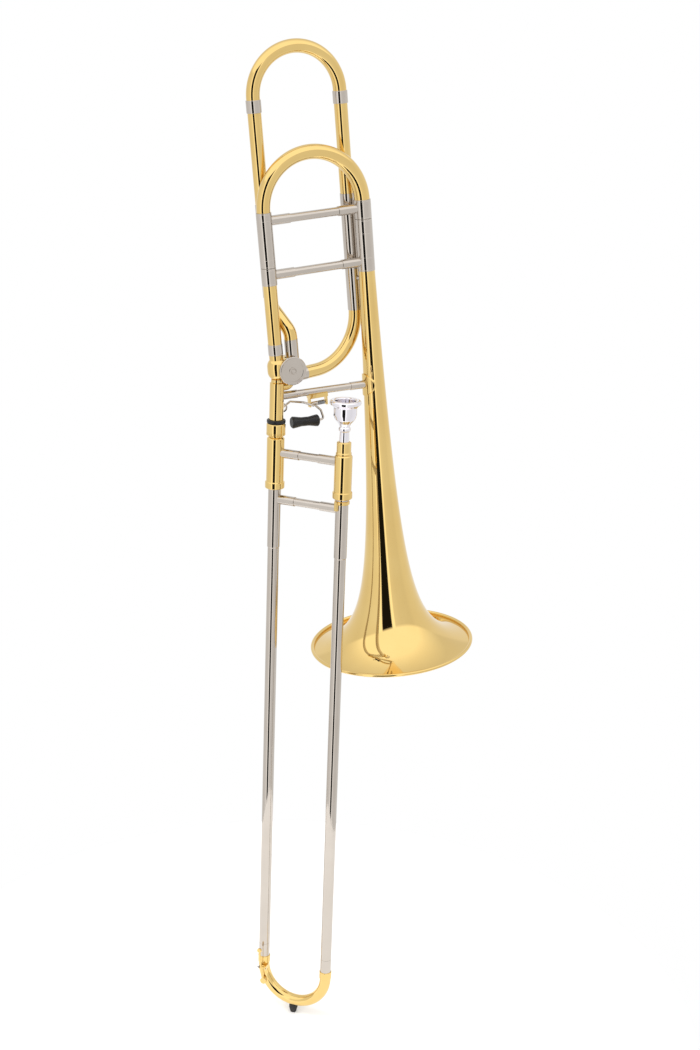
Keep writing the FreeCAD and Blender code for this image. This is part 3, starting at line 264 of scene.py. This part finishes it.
def outward(mesh):
    """Turn a closed mesh the right way out if its signed volume is negative."""
    work = bmesh.new()
    work.from_mesh(mesh)
    bmesh.ops.remove_doubles(work, verts=work.verts, dist=MERGE)
    bmesh.ops.recalc_face_normals(work, faces=work.faces)
    if work.calc_volume(signed=True) < 0:
        bmesh.ops.reverse_faces(work, faces=work.faces)
    work.to_mesh(mesh)
    work.free()


def hand_over(name, mesh, nodes, slot=None):
    """Make the finished piece, let it ride, and let it stand for the fixed pieces."""
    outward(mesh)
    mesh.shade_smooth()
    mesh.set_sharp_from_angle(angle=SHARP)
    piece = bpy.data.objects.new(name, mesh)
    bpy.context.scene.collection.objects.link(piece)
    slot = slot or SLOT_OF[nodes[0]]
    mesh.materials.clear()
    mesh.materials.append(FINISH[slot])
    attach(piece, BODY_OF[nodes[0]])
    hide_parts(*nodes)
    made.append(piece)
    return piece


# %% [markdown]
# ## Turned pieces
#
# Sleeves, ferrules, barrels and rings come from a lathe. The fixed model has their exact outline but with
# razor edges, and a razor edge never catches the light. The outline is read back from the piece itself:
# every corner of a turned piece lies at some radius and height, and corners that share both are one point
# of the outline. Each corner is then rounded with a small arc, and the fine lines that a turner cuts beside
# a joint are added, before the outline is swung round again in many steps.

# %% Read an outline back, round it and turn it
TURNS = 96
ARC_STEPS = 4


def outline_of(node, seat, side=None):
    """The closed outline (radius, height) of a turned piece, its centre, in the seat's frame."""
    spots = points_of(node, seat)
    faces = np.array([list(face.vertices) for face in NODES[node].data.polygons])
    if side is not None:
        middle = (spots[:, 0].min() + spots[:, 0].max()) / 2
        keep = (spots[faces[:, 0], 0] - middle) * side > 0
        faces = faces[keep]
        spots = np.where(np.isin(np.arange(len(spots)), faces.ravel())[:, None], spots, np.nan)
    centre = (np.nanmin(spots, axis=0)[:2] + np.nanmax(spots, axis=0)[:2]) / 2
    radii = np.hypot(*(spots[:, :2] - centre).T)
    corners = []
    mark = {}
    for index in np.unique(faces):
        here = np.array((radii[index], spots[index, 2]))
        for number, corner in enumerate(corners):
            if np.abs(corner - here).max() < SAME_POINT:
                mark[index] = number
                break
        else:
            mark[index] = len(corners)
            corners.append(here)
    joined = {number: set() for number in range(len(corners))}
    for face in faces:
        for first, second in ((0, 1), (1, 2), (2, 0)):
            ends = mark[face[first]], mark[face[second]]
            if ends[0] != ends[1]:
                joined[ends[0]].add(ends[1])
                joined[ends[1]].add(ends[0])
    path = [0]
    while True:
        ahead = [number for number in sorted(joined[path[-1]]) if number not in path[-2:]]
        if not ahead or ahead[0] == path[0] or len(path) > len(corners):
            break
        path.append(ahead[0])
    return [tuple(corners[number]) for number in path], centre


def softened(outline, edge, steps=ARC_STEPS):
    """Round each corner of a closed outline with a small curve of about the given radius."""
    smooth = []
    count = len(outline)
    for index in range(count):
        before, here, after = (np.array(outline[(index + shift) % count]) for shift in (-1, 0, 1))
        reach = [min(edge, 0.45 * np.linalg.norm(side - here)) for side in (before, after)]
        start = here + (before - here) / np.linalg.norm(before - here) * reach[0]
        end = here + (after - here) / np.linalg.norm(after - here) * reach[1]
        for step in range(steps + 1):
            share = step / steps
            spot = (1 - share) ** 2 * start + 2 * share * (1 - share) * here + share ** 2 * end
            smooth.append((float(spot[0]), float(spot[1])))
    return smooth


def scored(outline, heights, depth=0.18 * MM, width=0.5 * MM):
    """Cut fine V lines into the outer wall of an outline at the given heights."""
    result = []
    count = len(outline)
    outer = max(radius for radius, height in outline)
    for index in range(count):
        here, after = outline[index], outline[(index + 1) % count]
        result.append(here)
        if abs(here[0] - after[0]) < 0.01 * MM and here[0] > 0.8 * outer:
            way = 1 if after[1] > here[1] else -1
            inside = [height for height in sorted(heights, key=lambda height: height * way)
                      if min(here[1], after[1]) + width < height < max(here[1], after[1]) - width]
            for height in inside:
                result += [(here[0], height - way * width / 2), (here[0] - depth, height),
                           (here[0], height + way * width / 2)]
    return result


def turned(outline, centre, seat, turns=TURNS):
    """A mesh from a closed outline swung round the seat's Z through its centre."""
    work = bmesh.new()
    rings = []
    for turn in range(turns):
        angle = 2 * math.pi * turn / turns
        ring = []
        for radius, height in outline:
            across = radius * math.cos(angle) + centre[0]
            deep = radius * math.sin(angle) + centre[1]
            ring.append(work.verts.new(seat @ Vector((across, deep, height))))
        rings.append(ring)
    for turn in range(turns):
        here, there = rings[turn], rings[(turn + 1) % turns]
        for index in range(len(outline)):
            after = (index + 1) % len(outline)
            work.faces.new((here[index], there[index], there[after], here[after]))
    bmesh.ops.remove_doubles(work, verts=work.verts, dist=MERGE)
    mesh = bpy.data.meshes.new("turned")
    work.to_mesh(mesh)
    work.free()
    return mesh


# %% [markdown]
# Which pieces are turned, how far their edges are rounded, and where the turner's lines run, as distances
# from each end. A nickel sleeve has one line near each end, where the solder joint was trimmed.

# %% Turn the sleeves, ferrules and barrels
LATHE_WORK = {
    # piece: (frame, edge rounding mm, lines measured from the ends mm)
    "leg_ferrule": (BELL_FRAME, 0.5, (1.6,)),
    "leg_top_ferrule": (BELL_FRAME, 0.6, (2.0,)),
    "tuning_leg_left": (BELL_FRAME, 0.2, ()),
    "tuning_sleeve_left": (BELL_FRAME, 0.5, (1.6, 9.5)),
    "tuning_ferrule_right": (BELL_FRAME, 0.6, (1.8,)),
    "bell_sleeve": (BELL_FRAME, 0.6, (1.8, 17.0)),
    "tuning_leg_right": (BELL_FRAME, 0.2, ()),
    "receiver_tenon": (SLIDE, 0.3, ()),
    "receiver_collar": (SLIDE, 1.4, ()),
    "mouthpiece_receiver": (SLIDE, 0.5, (1.2,)),
    "outer_tube_left": (SLIDE, 0.3, (1.5, 22.0)),
    "outer_tube_right": (SLIDE, 0.3, (1.5, 22.0)),
    "cork_barrel_left": (SLIDE, 0.9, ()),
    "cork_barrel_right": (SLIDE, 0.9, ()),
}


def line_heights(node, seat, distances):
    """Heights of the turner's lines, measured from both ends of a piece."""
    low, high = span(node, seat)
    lows = [low[2] + distance * MM for distance in distances]
    return lows + [high[2] - distance * MM for distance in distances]


for node, (seat, edge, distances) in LATHE_WORK.items():
    outline, centre = outline_of(node, seat)
    outline = scored(outline, line_heights(node, seat, distances))
    mesh = turned(softened(outline, edge * MM), centre, seat)
    hand_over("turned_" + node, mesh, [node])
print(len(made), "turned pieces")


# %% [markdown]
# Two ferrules often make one fixed piece, left and right. Their two outlines are read one at a time, and
# the two rings are joined into one mesh again. The mouthpiece is turned the same way, with larger curves
# because a rim that touches the lips has no edges at all.

# %% Turn the pairs and the mouthpiece


def joined(meshes):
    """One mesh from several."""
    work = bmesh.new()
    for mesh in meshes:
        work.from_mesh(mesh)
    whole = bpy.data.meshes.new("joined")
    work.to_mesh(whole)
    work.free()
    return whole


PAIRS = {"f_bow_ferrules": (BELL_FRAME, 0.5), "bow_ferrules": (SLIDE, 0.6)}
for node, (seat, edge) in PAIRS.items():
    rings = []
    for side in (-1, 1):
        outline, centre = outline_of(node, seat, side)
        rings.append(turned(softened(outline, edge * MM), centre, seat))
    hand_over("turned_" + node, joined(rings), [node])

RIM_ROUNDING = 1.3 * MM
RIM_STEPS = 6
RIM_TURNS = 128
outline, centre = outline_of("mouthpiece", SLIDE)
outline = softened(outline, RIM_ROUNDING, RIM_STEPS)
hand_over("mouthpiece_turned", turned(outline, centre, SLIDE, RIM_TURNS), ["mouthpiece"])

# %% [markdown]
# ## Bent tubes
#
# Every bow is a half circle between two short legs. One Geometry Nodes tree draws them all: a line of
# points is laid along the bow by its length, so the legs stay straight and the half circle is even, and a
# ring is swept along it. The ring may grow from the left end to the right end, as the main tuning bow does,
# where the air column widens towards the bell.

# %% A tree for bent tubes


def new_tree(name, inputs):
    """A Geometry Nodes tree with named number inputs. Gives tree, input node and identifiers."""
    tree = bpy.data.node_groups.new(name, "GeometryNodeTree")
    tree.interface.new_socket("Geometry", in_out="OUTPUT", socket_type="NodeSocketGeometry")
    keys = {}
    for label in inputs:
        socket = tree.interface.new_socket(label, in_out="INPUT", socket_type="NodeSocketFloat")
        keys[label] = socket.identifier
    return tree, tree.nodes.new("NodeGroupInput"), keys


def close_tree(tree, geometry, slot):
    """End a tree: instances become real and the material is set."""
    real = add(tree, "GeometryNodeRealizeInstances", {}, {"Geometry": geometry})
    dressed = add(tree, "GeometryNodeSetMaterial", {"Material": FINISH[slot]},
                  {"Geometry": real.outputs[0]})
    out = tree.nodes.new("NodeGroupOutput")
    tree.links.new(dressed.outputs[0], out.inputs[0])


def grown(tree, keys, values):
    """Run a tree with the given input values and give the plain mesh it makes."""
    holder = bpy.data.objects.new("holder", bpy.data.meshes.new("holder"))
    bpy.context.scene.collection.objects.link(holder)
    modifier = holder.modifiers.new("shape", "NODES")
    modifier.node_group = tree
    for label, value in values.items():
        modifier[keys[label]] = value
    bpy.context.view_layer.update()
    result = holder.evaluated_get(bpy.context.evaluated_depsgraph_get())
    mesh = bpy.data.meshes.new_from_object(result)
    holder.modifiers.clear()
    bpy.data.objects.remove(holder)
    return mesh


BOW_STEPS = 120
TUBE_STEPS = 48
bow_tree, given, BOW_KEYS = new_tree("bent_tube", ("Spread", "Leg", "Left Radius", "Right Radius"))
line = add(bow_tree, "GeometryNodeCurvePrimitiveLine")
line = add(bow_tree, "GeometryNodeResampleCurve", {"Count": BOW_STEPS}, {"Curve": line.outputs[0]})
share = add(bow_tree, "GeometryNodeSplineParameter").outputs["Factor"]
arc = add(bow_tree, "ShaderNodeMath", {"operation": "MULTIPLY", 1: 0.5}, {0: given.outputs["Spread"]})
curve_long = add(bow_tree, "ShaderNodeMath", {"operation": "MULTIPLY", 1: math.pi}, {0: arc.outputs[0]})
total = add(bow_tree, "ShaderNodeMath", {"operation": "MULTIPLY_ADD", 1: 2.0},
            {0: given.outputs["Leg"], 2: curve_long.outputs[0]})
along = add(bow_tree, "ShaderNodeMath", {"operation": "MULTIPLY"}, {0: share, 1: total.outputs[0]})
past = add(bow_tree, "ShaderNodeMath", {"operation": "SUBTRACT"},
           {0: along.outputs[0], 1: given.outputs["Leg"]})
swing = add(bow_tree, "ShaderNodeMath", {"operation": "DIVIDE"}, {0: past.outputs[0], 1: arc.outputs[0]})
angle = add(bow_tree, "ShaderNodeClamp", {"Min": 0.0, "Max": math.pi}, {"Value": swing.outputs[0]})
turn_cos = add(bow_tree, "ShaderNodeMath", {"operation": "COSINE"}, {0: angle.outputs[0]})
turn_sin = add(bow_tree, "ShaderNodeMath", {"operation": "SINE"}, {0: angle.outputs[0]})
minus = add(bow_tree, "ShaderNodeMath", {"operation": "MULTIPLY", 1: -1.0}, {0: arc.outputs[0]})
across = add(bow_tree, "ShaderNodeMath", {"operation": "MULTIPLY"},
             {0: minus.outputs[0], 1: turn_cos.outputs[0]})
rest_left = add(bow_tree, "ShaderNodeMath", {"operation": "MINIMUM", 1: 0.0}, {0: past.outputs[0]})
over = add(bow_tree, "ShaderNodeMath", {"operation": "SUBTRACT"},
           {0: curve_long.outputs[0], 1: past.outputs[0]})
rest_right = add(bow_tree, "ShaderNodeMath", {"operation": "MINIMUM", 1: 0.0}, {0: over.outputs[0]})
legs = add(bow_tree, "ShaderNodeMath", {"operation": "ADD"},
           {0: rest_left.outputs[0], 1: rest_right.outputs[0]})
height = add(bow_tree, "ShaderNodeMath", {"operation": "MULTIPLY_ADD"},
             {0: turn_sin.outputs[0], 1: arc.outputs[0], 2: legs.outputs[0]})
spot = add(bow_tree, "ShaderNodeCombineXYZ", {}, {"X": across.outputs[0], "Z": height.outputs[0]})
bent = add(bow_tree, "GeometryNodeSetPosition", {},
           {"Geometry": line.outputs[0], "Position": spot.outputs[0]})
ring = add(bow_tree, "GeometryNodeCurvePrimitiveCircle", {"Resolution": TUBE_STEPS, "Radius": 1.0})
wide = add(bow_tree, "ShaderNodeMapRange", {},
           {"Value": share, "To Min": given.outputs["Left Radius"],
            "To Max": given.outputs["Right Radius"]})
bow = add(bow_tree, "GeometryNodeCurveToMesh", {"Fill Caps": True},
          {"Curve": bent.outputs[0], "Profile Curve": ring.outputs[0], "Scale": wide.outputs["Result"]})
close_tree(bow_tree, bow.outputs[0], "lacquered_brass")
print("bent tube tree:", len(bow_tree.nodes), "nodes")

# %% [markdown]
# A bow is drawn as a closed bar, because its ends never leave their sleeves and its bore is never seen. Its
# sizes are read from the fixed piece. Its tube is as thick as the piece is deep, front to back, and
# the legs' distance is its width less one tube. Where the two ends differ, each end's own width is read.

# %% Bend the bows
UPSIDE_DOWN = Matrix.Rotation(math.pi, 4, "Y")
FOOT_BAND = 0.2 * MM
BOWS = {"tuning_bow": BELL_FRAME, "f_bow": BELL_FRAME, "slide_bow": SLIDE @ UPSIDE_DOWN}
for node, seat in BOWS.items():
    spots = points_of(node, seat)
    low, high = spots.min(axis=0), spots.max(axis=0)
    ends = []
    for side in (-1, 1):
        half = spots[(spots[:, 0] - (low[0] + high[0]) / 2) * side > 0]
        foot = half[half[:, 2] < low[2] + FOOT_BAND]
        ends.append((foot[:, 0].min(), foot[:, 0].max()))
    left, right = ((end[1] - end[0]) / 2 for end in ends)
    left_middle, right_middle = (sum(end) / 2 for end in ends)
    spread = right_middle - left_middle
    top_radius = (left + right) / 2
    leg = max(0.0, high[2] - low[2] - spread / 2 - top_radius)
    mesh = grown(bow_tree, BOW_KEYS,
                 {"Spread": spread, "Leg": leg, "Left Radius": left, "Right Radius": right})
    middle = Vector(((left_middle + right_middle) / 2, (low[1] + high[1]) / 2, low[2] + leg))
    mesh.transform(seat @ Matrix.Translation(middle))
    hand_over("bent_" + node, mesh, [node])
    print(node, "spread", round(spread / MM, 1), "tube", round(left * 2 / MM, 1), round(right * 2 / MM, 1))

# %% [markdown]
# ## The bell
#
# A bell's radius falls off with the height above its rim like one over a square root, which is the curve
# a spinner hammers and rolls over a mandrel. The tree bends a flat grid: one side of the grid runs round
# the bell, the other side runs up its outside and down its inside, so the sheet has a real thickness.
# Rows are packed towards the rim, where the curve is tightest. A bead of rolled wire closes the rim. The
# curve's scale and shift are the fixed model's own two numbers and have to be kept equal to them.

# %% The bell's tree
ROUND_STEPS = 192
WALL_ROWS = 161
ROW_PACKING = 2.6
BEAD_STEPS = 24
FLARE_SCALE = 447.5 * MM ** 1.5
FLARE_SHIFT = 14.5 * MM
WALL = 0.8 * MM
WALL_LOW = 0.8 * MM
BEAD_RADIUS = 2.3 * MM
bell_low, bell_high = span("bell", BELL_FRAME)
bell_radius = float(bell_high[1] - bell_low[1]) / 2
bell_tree, given, BELL_KEYS = new_tree("flared_bell", ("Length", "Rim Radius", "Wall"))
grid = add(bell_tree, "GeometryNodeMeshGrid", {"Size X": 1.0, "Size Y": 1.0, "Vertices X": ROUND_STEPS + 1,
                                               "Vertices Y": WALL_ROWS})
place = add(bell_tree, "ShaderNodeSeparateXYZ", {},
            {0: add(bell_tree, "GeometryNodeInputPosition").outputs[0]})
angle = add(bell_tree, "ShaderNodeMath", {"operation": "MULTIPLY", 1: 2 * math.pi}, {0: place.outputs["X"]})
inner = add(bell_tree, "ShaderNodeMath", {"operation": "GREATER_THAN", 1: 0.0}, {0: place.outputs["Y"]})
fold = add(bell_tree, "ShaderNodeMath", {"operation": "ABSOLUTE"}, {0: place.outputs["Y"]})
rise = add(bell_tree, "ShaderNodeMath", {"operation": "MULTIPLY_ADD", 1: -2.0, 2: 1.0},
           {0: fold.outputs[0]})
packed = add(bell_tree, "ShaderNodeMath", {"operation": "POWER", 1: ROW_PACKING}, {0: rise.outputs[0]})
reach = add(bell_tree, "ShaderNodeMath", {"operation": "SUBTRACT", 1: WALL_LOW},
            {0: given.outputs["Length"]})
up = add(bell_tree, "ShaderNodeMath", {"operation": "MULTIPLY_ADD", 2: WALL_LOW},
         {0: packed.outputs[0], 1: reach.outputs[0]})
shifted = add(bell_tree, "ShaderNodeMath", {"operation": "ADD", 1: FLARE_SHIFT}, {0: up.outputs[0]})
root = add(bell_tree, "ShaderNodeMath", {"operation": "POWER", 1: -0.5}, {0: shifted.outputs[0]})
base = add(bell_tree, "ShaderNodeMath", {"operation": "SUBTRACT", 1: FLARE_SCALE / math.sqrt(FLARE_SHIFT)},
           {0: given.outputs["Rim Radius"]})
flare = add(bell_tree, "ShaderNodeMath", {"operation": "MULTIPLY_ADD", 1: FLARE_SCALE},
            {0: root.outputs[0], 2: base.outputs[0]})
steep = add(bell_tree, "ShaderNodeMath", {"operation": "POWER", 1: -1.5}, {0: shifted.outputs[0]})
slope = add(bell_tree, "ShaderNodeMath", {"operation": "MULTIPLY", 1: -FLARE_SCALE / 2},
            {0: steep.outputs[0]})
lean = add(bell_tree, "ShaderNodeMath", {"operation": "ARCTANGENT"}, {0: slope.outputs[0]})
lean_cos = add(bell_tree, "ShaderNodeMath", {"operation": "COSINE"}, {0: lean.outputs[0]})
lean_sin = add(bell_tree, "ShaderNodeMath", {"operation": "SINE"}, {0: lean.outputs[0]})
sheet = add(bell_tree, "ShaderNodeMath", {"operation": "MULTIPLY"},
            {0: given.outputs["Wall"], 1: inner.outputs[0]})
inward = add(bell_tree, "ShaderNodeMath", {"operation": "MULTIPLY"},
             {0: sheet.outputs[0], 1: lean_cos.outputs[0]})
radius = add(bell_tree, "ShaderNodeMath", {"operation": "SUBTRACT"},
             {0: flare.outputs[0], 1: inward.outputs[0]})
dip = add(bell_tree, "ShaderNodeMath", {"operation": "MULTIPLY_ADD"},
          {0: sheet.outputs[0], 1: lean_sin.outputs[0], 2: up.outputs[0]})
level = add(bell_tree, "ShaderNodeMath", {"operation": "MINIMUM"},
            {0: dip.outputs[0], 1: given.outputs["Length"]})
turn_cos = add(bell_tree, "ShaderNodeMath", {"operation": "COSINE"}, {0: angle.outputs[0]})
turn_sin = add(bell_tree, "ShaderNodeMath", {"operation": "SINE"}, {0: angle.outputs[0]})
bell_x = add(bell_tree, "ShaderNodeMath", {"operation": "MULTIPLY"},
             {0: radius.outputs[0], 1: turn_cos.outputs[0]})
bell_y = add(bell_tree, "ShaderNodeMath", {"operation": "MULTIPLY"},
             {0: radius.outputs[0], 1: turn_sin.outputs[0]})
spot = add(bell_tree, "ShaderNodeCombineXYZ", {},
           {"X": bell_x.outputs[0], "Y": bell_y.outputs[0], "Z": level.outputs[0]})
wall = add(bell_tree, "GeometryNodeSetPosition", {},
           {"Geometry": grid.outputs["Mesh"], "Position": spot.outputs[0]})
bead_arc = add(bell_tree, "ShaderNodeMath", {"operation": "SUBTRACT", 1: BEAD_RADIUS},
               {0: given.outputs["Rim Radius"]})
bead_line = add(bell_tree, "GeometryNodeCurvePrimitiveCircle", {"Resolution": ROUND_STEPS},
                {"Radius": bead_arc.outputs[0]})
bead_ring = add(bell_tree, "GeometryNodeCurvePrimitiveCircle",
                {"Resolution": BEAD_STEPS, "Radius": BEAD_RADIUS})
bead = add(bell_tree, "GeometryNodeCurveToMesh", {},
           {"Curve": bead_line.outputs[0], "Profile Curve": bead_ring.outputs[0]})
bead = add(bell_tree, "GeometryNodeTransform", {"Translation": (0, 0, BEAD_RADIUS)},
           {"Geometry": bead.outputs[0]})
whole = add(bell_tree, "GeometryNodeJoinGeometry", {}, {"Geometry": bead.outputs[0]})
bell_tree.links.new(wall.outputs[0], whole.inputs["Geometry"])
close_tree(bell_tree, whole.outputs[0], "lacquered_brass")

# %% [markdown]
# The folded grid leaves a slit at the rim between the outside and the inside of the sheet. The two edges of
# the slit are bridged, so that the bell is one closed skin.

# %% Grow the bell and close its edge
bell_long = float(bell_high[2] - bell_low[2])
mesh = grown(bell_tree, BELL_KEYS, {"Length": bell_long, "Rim Radius": bell_radius, "Wall": WALL})
work = bmesh.new()
work.from_mesh(mesh)
bmesh.ops.remove_doubles(work, verts=work.verts, dist=MERGE)
edges = [edge for edge in work.edges if edge.is_boundary]
bmesh.ops.bridge_loops(work, edges=edges)
work.to_mesh(mesh)
work.free()
bell_middle = (bell_low + bell_high) / 2
mesh.transform(BELL_FRAME @ Matrix.Translation((bell_middle[0], bell_middle[1], bell_low[2])))
hand_over("spun_bell", mesh, ["bell"])
print("bell rim", round(bell_radius * 2 / MM, 1), "mm across,", len(mesh.polygons), "faces")

# %% [markdown]
# ## Springs
#
# A coil is a spiral line with a small ring swept along it. Both springs use one tree and lie along a hinge.

# %% Wind the springs
COIL_STEPS = 28
WIRE_STEPS = 10
coil_tree, given, COIL_KEYS = new_tree("coil_spring", ("Turns", "Radius", "Wire", "Length"))
winding = add(coil_tree, "GeometryNodeCurveSpiral", {"Resolution": COIL_STEPS},
              {"Rotations": given.outputs["Turns"], "Start Radius": given.outputs["Radius"],
               "End Radius": given.outputs["Radius"], "Height": given.outputs["Length"]})
wire = add(coil_tree, "GeometryNodeCurvePrimitiveCircle", {"Resolution": WIRE_STEPS},
           {"Radius": given.outputs["Wire"]})
coil = add(coil_tree, "GeometryNodeCurveToMesh", {"Fill Caps": True},
           {"Curve": winding.outputs[0], "Profile Curve": wire.outputs[0]})
close_tree(coil_tree, coil.outputs[0], "spring_steel")
SPRINGS = {"trigger_spring": (BELL_FRAME, 6, 0.6), "water_key_spring": (SLIDE, 2, 0.35)}
for node, (seat, turns, wire_mm) in SPRINGS.items():
    low, high = span(node, seat)
    wire = wire_mm * MM
    coil_radius = float(high[1] - low[1]) / 2 - wire
    coil_long = float(high[0] - low[0]) - 2 * wire
    mesh = grown(coil_tree, COIL_KEYS,
                 {"Turns": turns, "Radius": coil_radius, "Wire": wire, "Length": coil_long})
    start = Vector((low[0] + wire, (low[1] + high[1]) / 2, (low[2] + high[2]) / 2))
    mesh.transform(seat @ Matrix.Translation(start) @ ACROSS)
    hand_over("wound_" + node, mesh, [node])
    print(node, "coil radius", round(coil_radius / MM, 2), "long", round(coil_long / MM, 1))


# %% [markdown]
# ## Light, floor and camera
#
# Polished metal needs something to mirror. A light tent gives it broad pale walls, and one narrow dark
# gap beside the camera, which every round tube squeezes into a crisp dark line down its length. That line
# is what makes a tube look round and polished. The tent is brightest on both sides of the gap. Walls and
# gap stop at a ceiling panel, so on the bell's flare the dark line ends where the panel's reflection
# begins. The backdrop that the camera itself sees is plain white.

# %% The light tent
CAMERA_TURN = math.radians(23.09)
CAMERA_DOWN = math.radians(17.46)
CAMERA_ROLL = math.radians(2.12)
CAMERA_AIM = Vector((58.07, 0.0, 711.28)) * MM
CAMERA_FAR = 2011.55 * MM
CAMERA_LENS = 55.90
CAMERA_SENSOR = 36

world = bpy.data.worlds.new("light_tent")
bpy.context.scene.world = world
world.use_nodes = True
tree = world.node_tree
tree.nodes.clear()
direction = add(tree, "ShaderNodeTexCoord").outputs["Generated"]
# After this turn the camera stands at the middle of the tent's round, and angles grow to its right.
turned_way = add(tree, "ShaderNodeMapping", {"Rotation": (0, 0, math.radians(90) - CAMERA_TURN)},
                 {"Vector": direction})
parts = add(tree, "ShaderNodeSeparateXYZ", {}, {"Vector": turned_way.outputs["Vector"]})
bearing = add(tree, "ShaderNodeMath", {"operation": "ARCTAN2"},
              {0: parts.outputs["Y"], 1: parts.outputs["X"]})
round_way = add(tree, "ShaderNodeMapRange", {"From Min": -math.pi, "From Max": math.pi},
                {"Value": bearing.outputs[0]})
walls = add(tree, "ShaderNodeValToRGB", {}, {"Fac": round_way.outputs["Result"]})
# Bearing from the camera in degrees, and how bright the tent is there.
TENT = ((-180, 0.95), (-100, 0.88), (-60, 0.98), (-42, 1.0), (-39, 1.4), (-28, 1.4),
        (-26, 0.012), (3, 0.012), (5, 1.4), (12, 1.4), (15, 0.95), (34, 0.88), (70, 0.85),
        (84, 0.9), (120, 0.92), (180, 0.95))
TENT_LIGHT = 2.0
ramp = walls.color_ramp
while len(ramp.elements) < len(TENT):
    ramp.elements.new(0.5)
for mark, (bearing_deg, bright) in zip(ramp.elements, TENT):
    mark.position = bearing_deg / 360 + 0.5
for mark, (bearing_deg, bright) in zip(ramp.elements, TENT):
    mark.color = (bright / TENT_LIGHT, bright / TENT_LIGHT, bright / TENT_LIGHT, 1.0)
# The ceiling panel is bright over the camera's side and falls off over the far side.
ceiling = add(tree, "ShaderNodeMapRange",
              {"From Min": -0.6, "From Max": 0.1, "To Min": 0.42, "To Max": 0.66},
              {"Value": parts.outputs["X"]})
panel = add(tree, "ShaderNodeMapRange", {"From Min": 0.44, "From Max": 0.5}, {"Value": parts.outputs["Z"]})
tent = add(tree, "ShaderNodeMix", {"data_type": "RGBA"},
           {"Factor": panel.outputs["Result"], 6: walls.outputs["Color"], 7: ceiling.outputs["Result"]})
mirrored = add(tree, "ShaderNodeBackground", {"Strength": TENT_LIGHT}, {"Color": tent.outputs["Result"]})
backdrop = add(tree, "ShaderNodeBackground", {"Color": linear("#FFFFFF"), "Strength": 1.0})
seen = add(tree, "ShaderNodeLightPath").outputs["Is Camera Ray"]
mixed = add(tree, "ShaderNodeMixShader", {}, {0: seen, 1: mirrored.outputs[0], 2: backdrop.outputs[0]})
add(tree, "ShaderNodeOutputWorld", {}, {"Surface": mixed.outputs[0]})
bpy.context.scene.view_settings.view_transform = "Standard"
print("the tent has", len(TENT), "stops")

# %% [markdown]
# Two softboxes light the plastic, the cork and the floor. Polished metal doesn't mirror them, because a
# square white patch on the bell would break the tent's long lines.

# %% Soft lamps and the floor


def soft_lamp(name, spot, size, power):
    """A square softbox at a spot, facing the middle of the instrument."""
    data = bpy.data.lights.new(name, "AREA")
    data.size = size
    data.energy = power
    lamp = bpy.data.objects.new(name, data)
    bpy.context.scene.collection.objects.link(lamp)
    lamp.location = spot
    lamp.visible_glossy = False
    lamp.rotation_euler = (CAMERA_AIM - Vector(spot)).to_track_quat("-Z", "Y").to_euler()
    return lamp


soft_lamp("softbox_left", (-1.9, -1.3, 2.3), 0.9, 26)
soft_lamp("softbox_right", (2.2, -1.2, 1.9), 0.8, 16)

FLOOR_RADIUS = 0.55
FLOOR_STEPS = 96
FLOOR_DROP = 0.2 * MM
floor_mesh = bpy.data.meshes.new("floor")
work = bmesh.new()
bmesh.ops.create_circle(work, cap_ends=True, segments=FLOOR_STEPS, radius=FLOOR_RADIUS)
bmesh.ops.translate(work, verts=work.verts, vec=(0, 0, -FLOOR_DROP))
work.to_mesh(floor_mesh)
work.free()
floor = bpy.data.objects.new("studio_floor", floor_mesh)
bpy.context.scene.collection.objects.link(floor)
paper = bpy.data.materials.new("white_paper")
paper.use_nodes = True
paper.node_tree.nodes["Principled BSDF"].inputs["Base Color"].default_value = linear("#FDFDFD")
paper.node_tree.nodes["Principled BSDF"].inputs["Roughness"].default_value = 0.9
floor_mesh.materials.append(paper)
print("floor", FLOOR_RADIUS * 2, "m across")

# %% [markdown]
# The camera looks a little down and from the right of the slide's plane, and leans slightly to one side.

# %% The camera
right = Vector((math.cos(CAMERA_TURN), math.sin(CAMERA_TURN), 0))
ahead = Vector((-math.sin(CAMERA_TURN) * math.cos(CAMERA_DOWN),
                math.cos(CAMERA_TURN) * math.cos(CAMERA_DOWN), -math.sin(CAMERA_DOWN)))
above = right.cross(ahead)
tilted_right = right * math.cos(CAMERA_ROLL) + above * math.sin(CAMERA_ROLL)
tilted_above = above * math.cos(CAMERA_ROLL) - right * math.sin(CAMERA_ROLL)
camera_data = bpy.data.cameras.new("camera")
camera_data.lens = CAMERA_LENS
camera_data.sensor_width = CAMERA_SENSOR
camera_data.dof.use_dof = False
camera = bpy.data.objects.new("camera", camera_data)
bpy.context.scene.collection.objects.link(camera)
camera.matrix_world = (Matrix.Translation(CAMERA_AIM - ahead * CAMERA_FAR)
                       @ Matrix((tilted_right, tilted_above, -ahead)).transposed().to_4x4())
bpy.context.scene.camera = camera
print("camera", round(CAMERA_FAR, 2), "m away,", CAMERA_LENS, "mm lens")

# %% [markdown]
# ## The end
#
# The number of pieces made here is printed.

# %% The count of new pieces
print("pieces made here:", len(made))
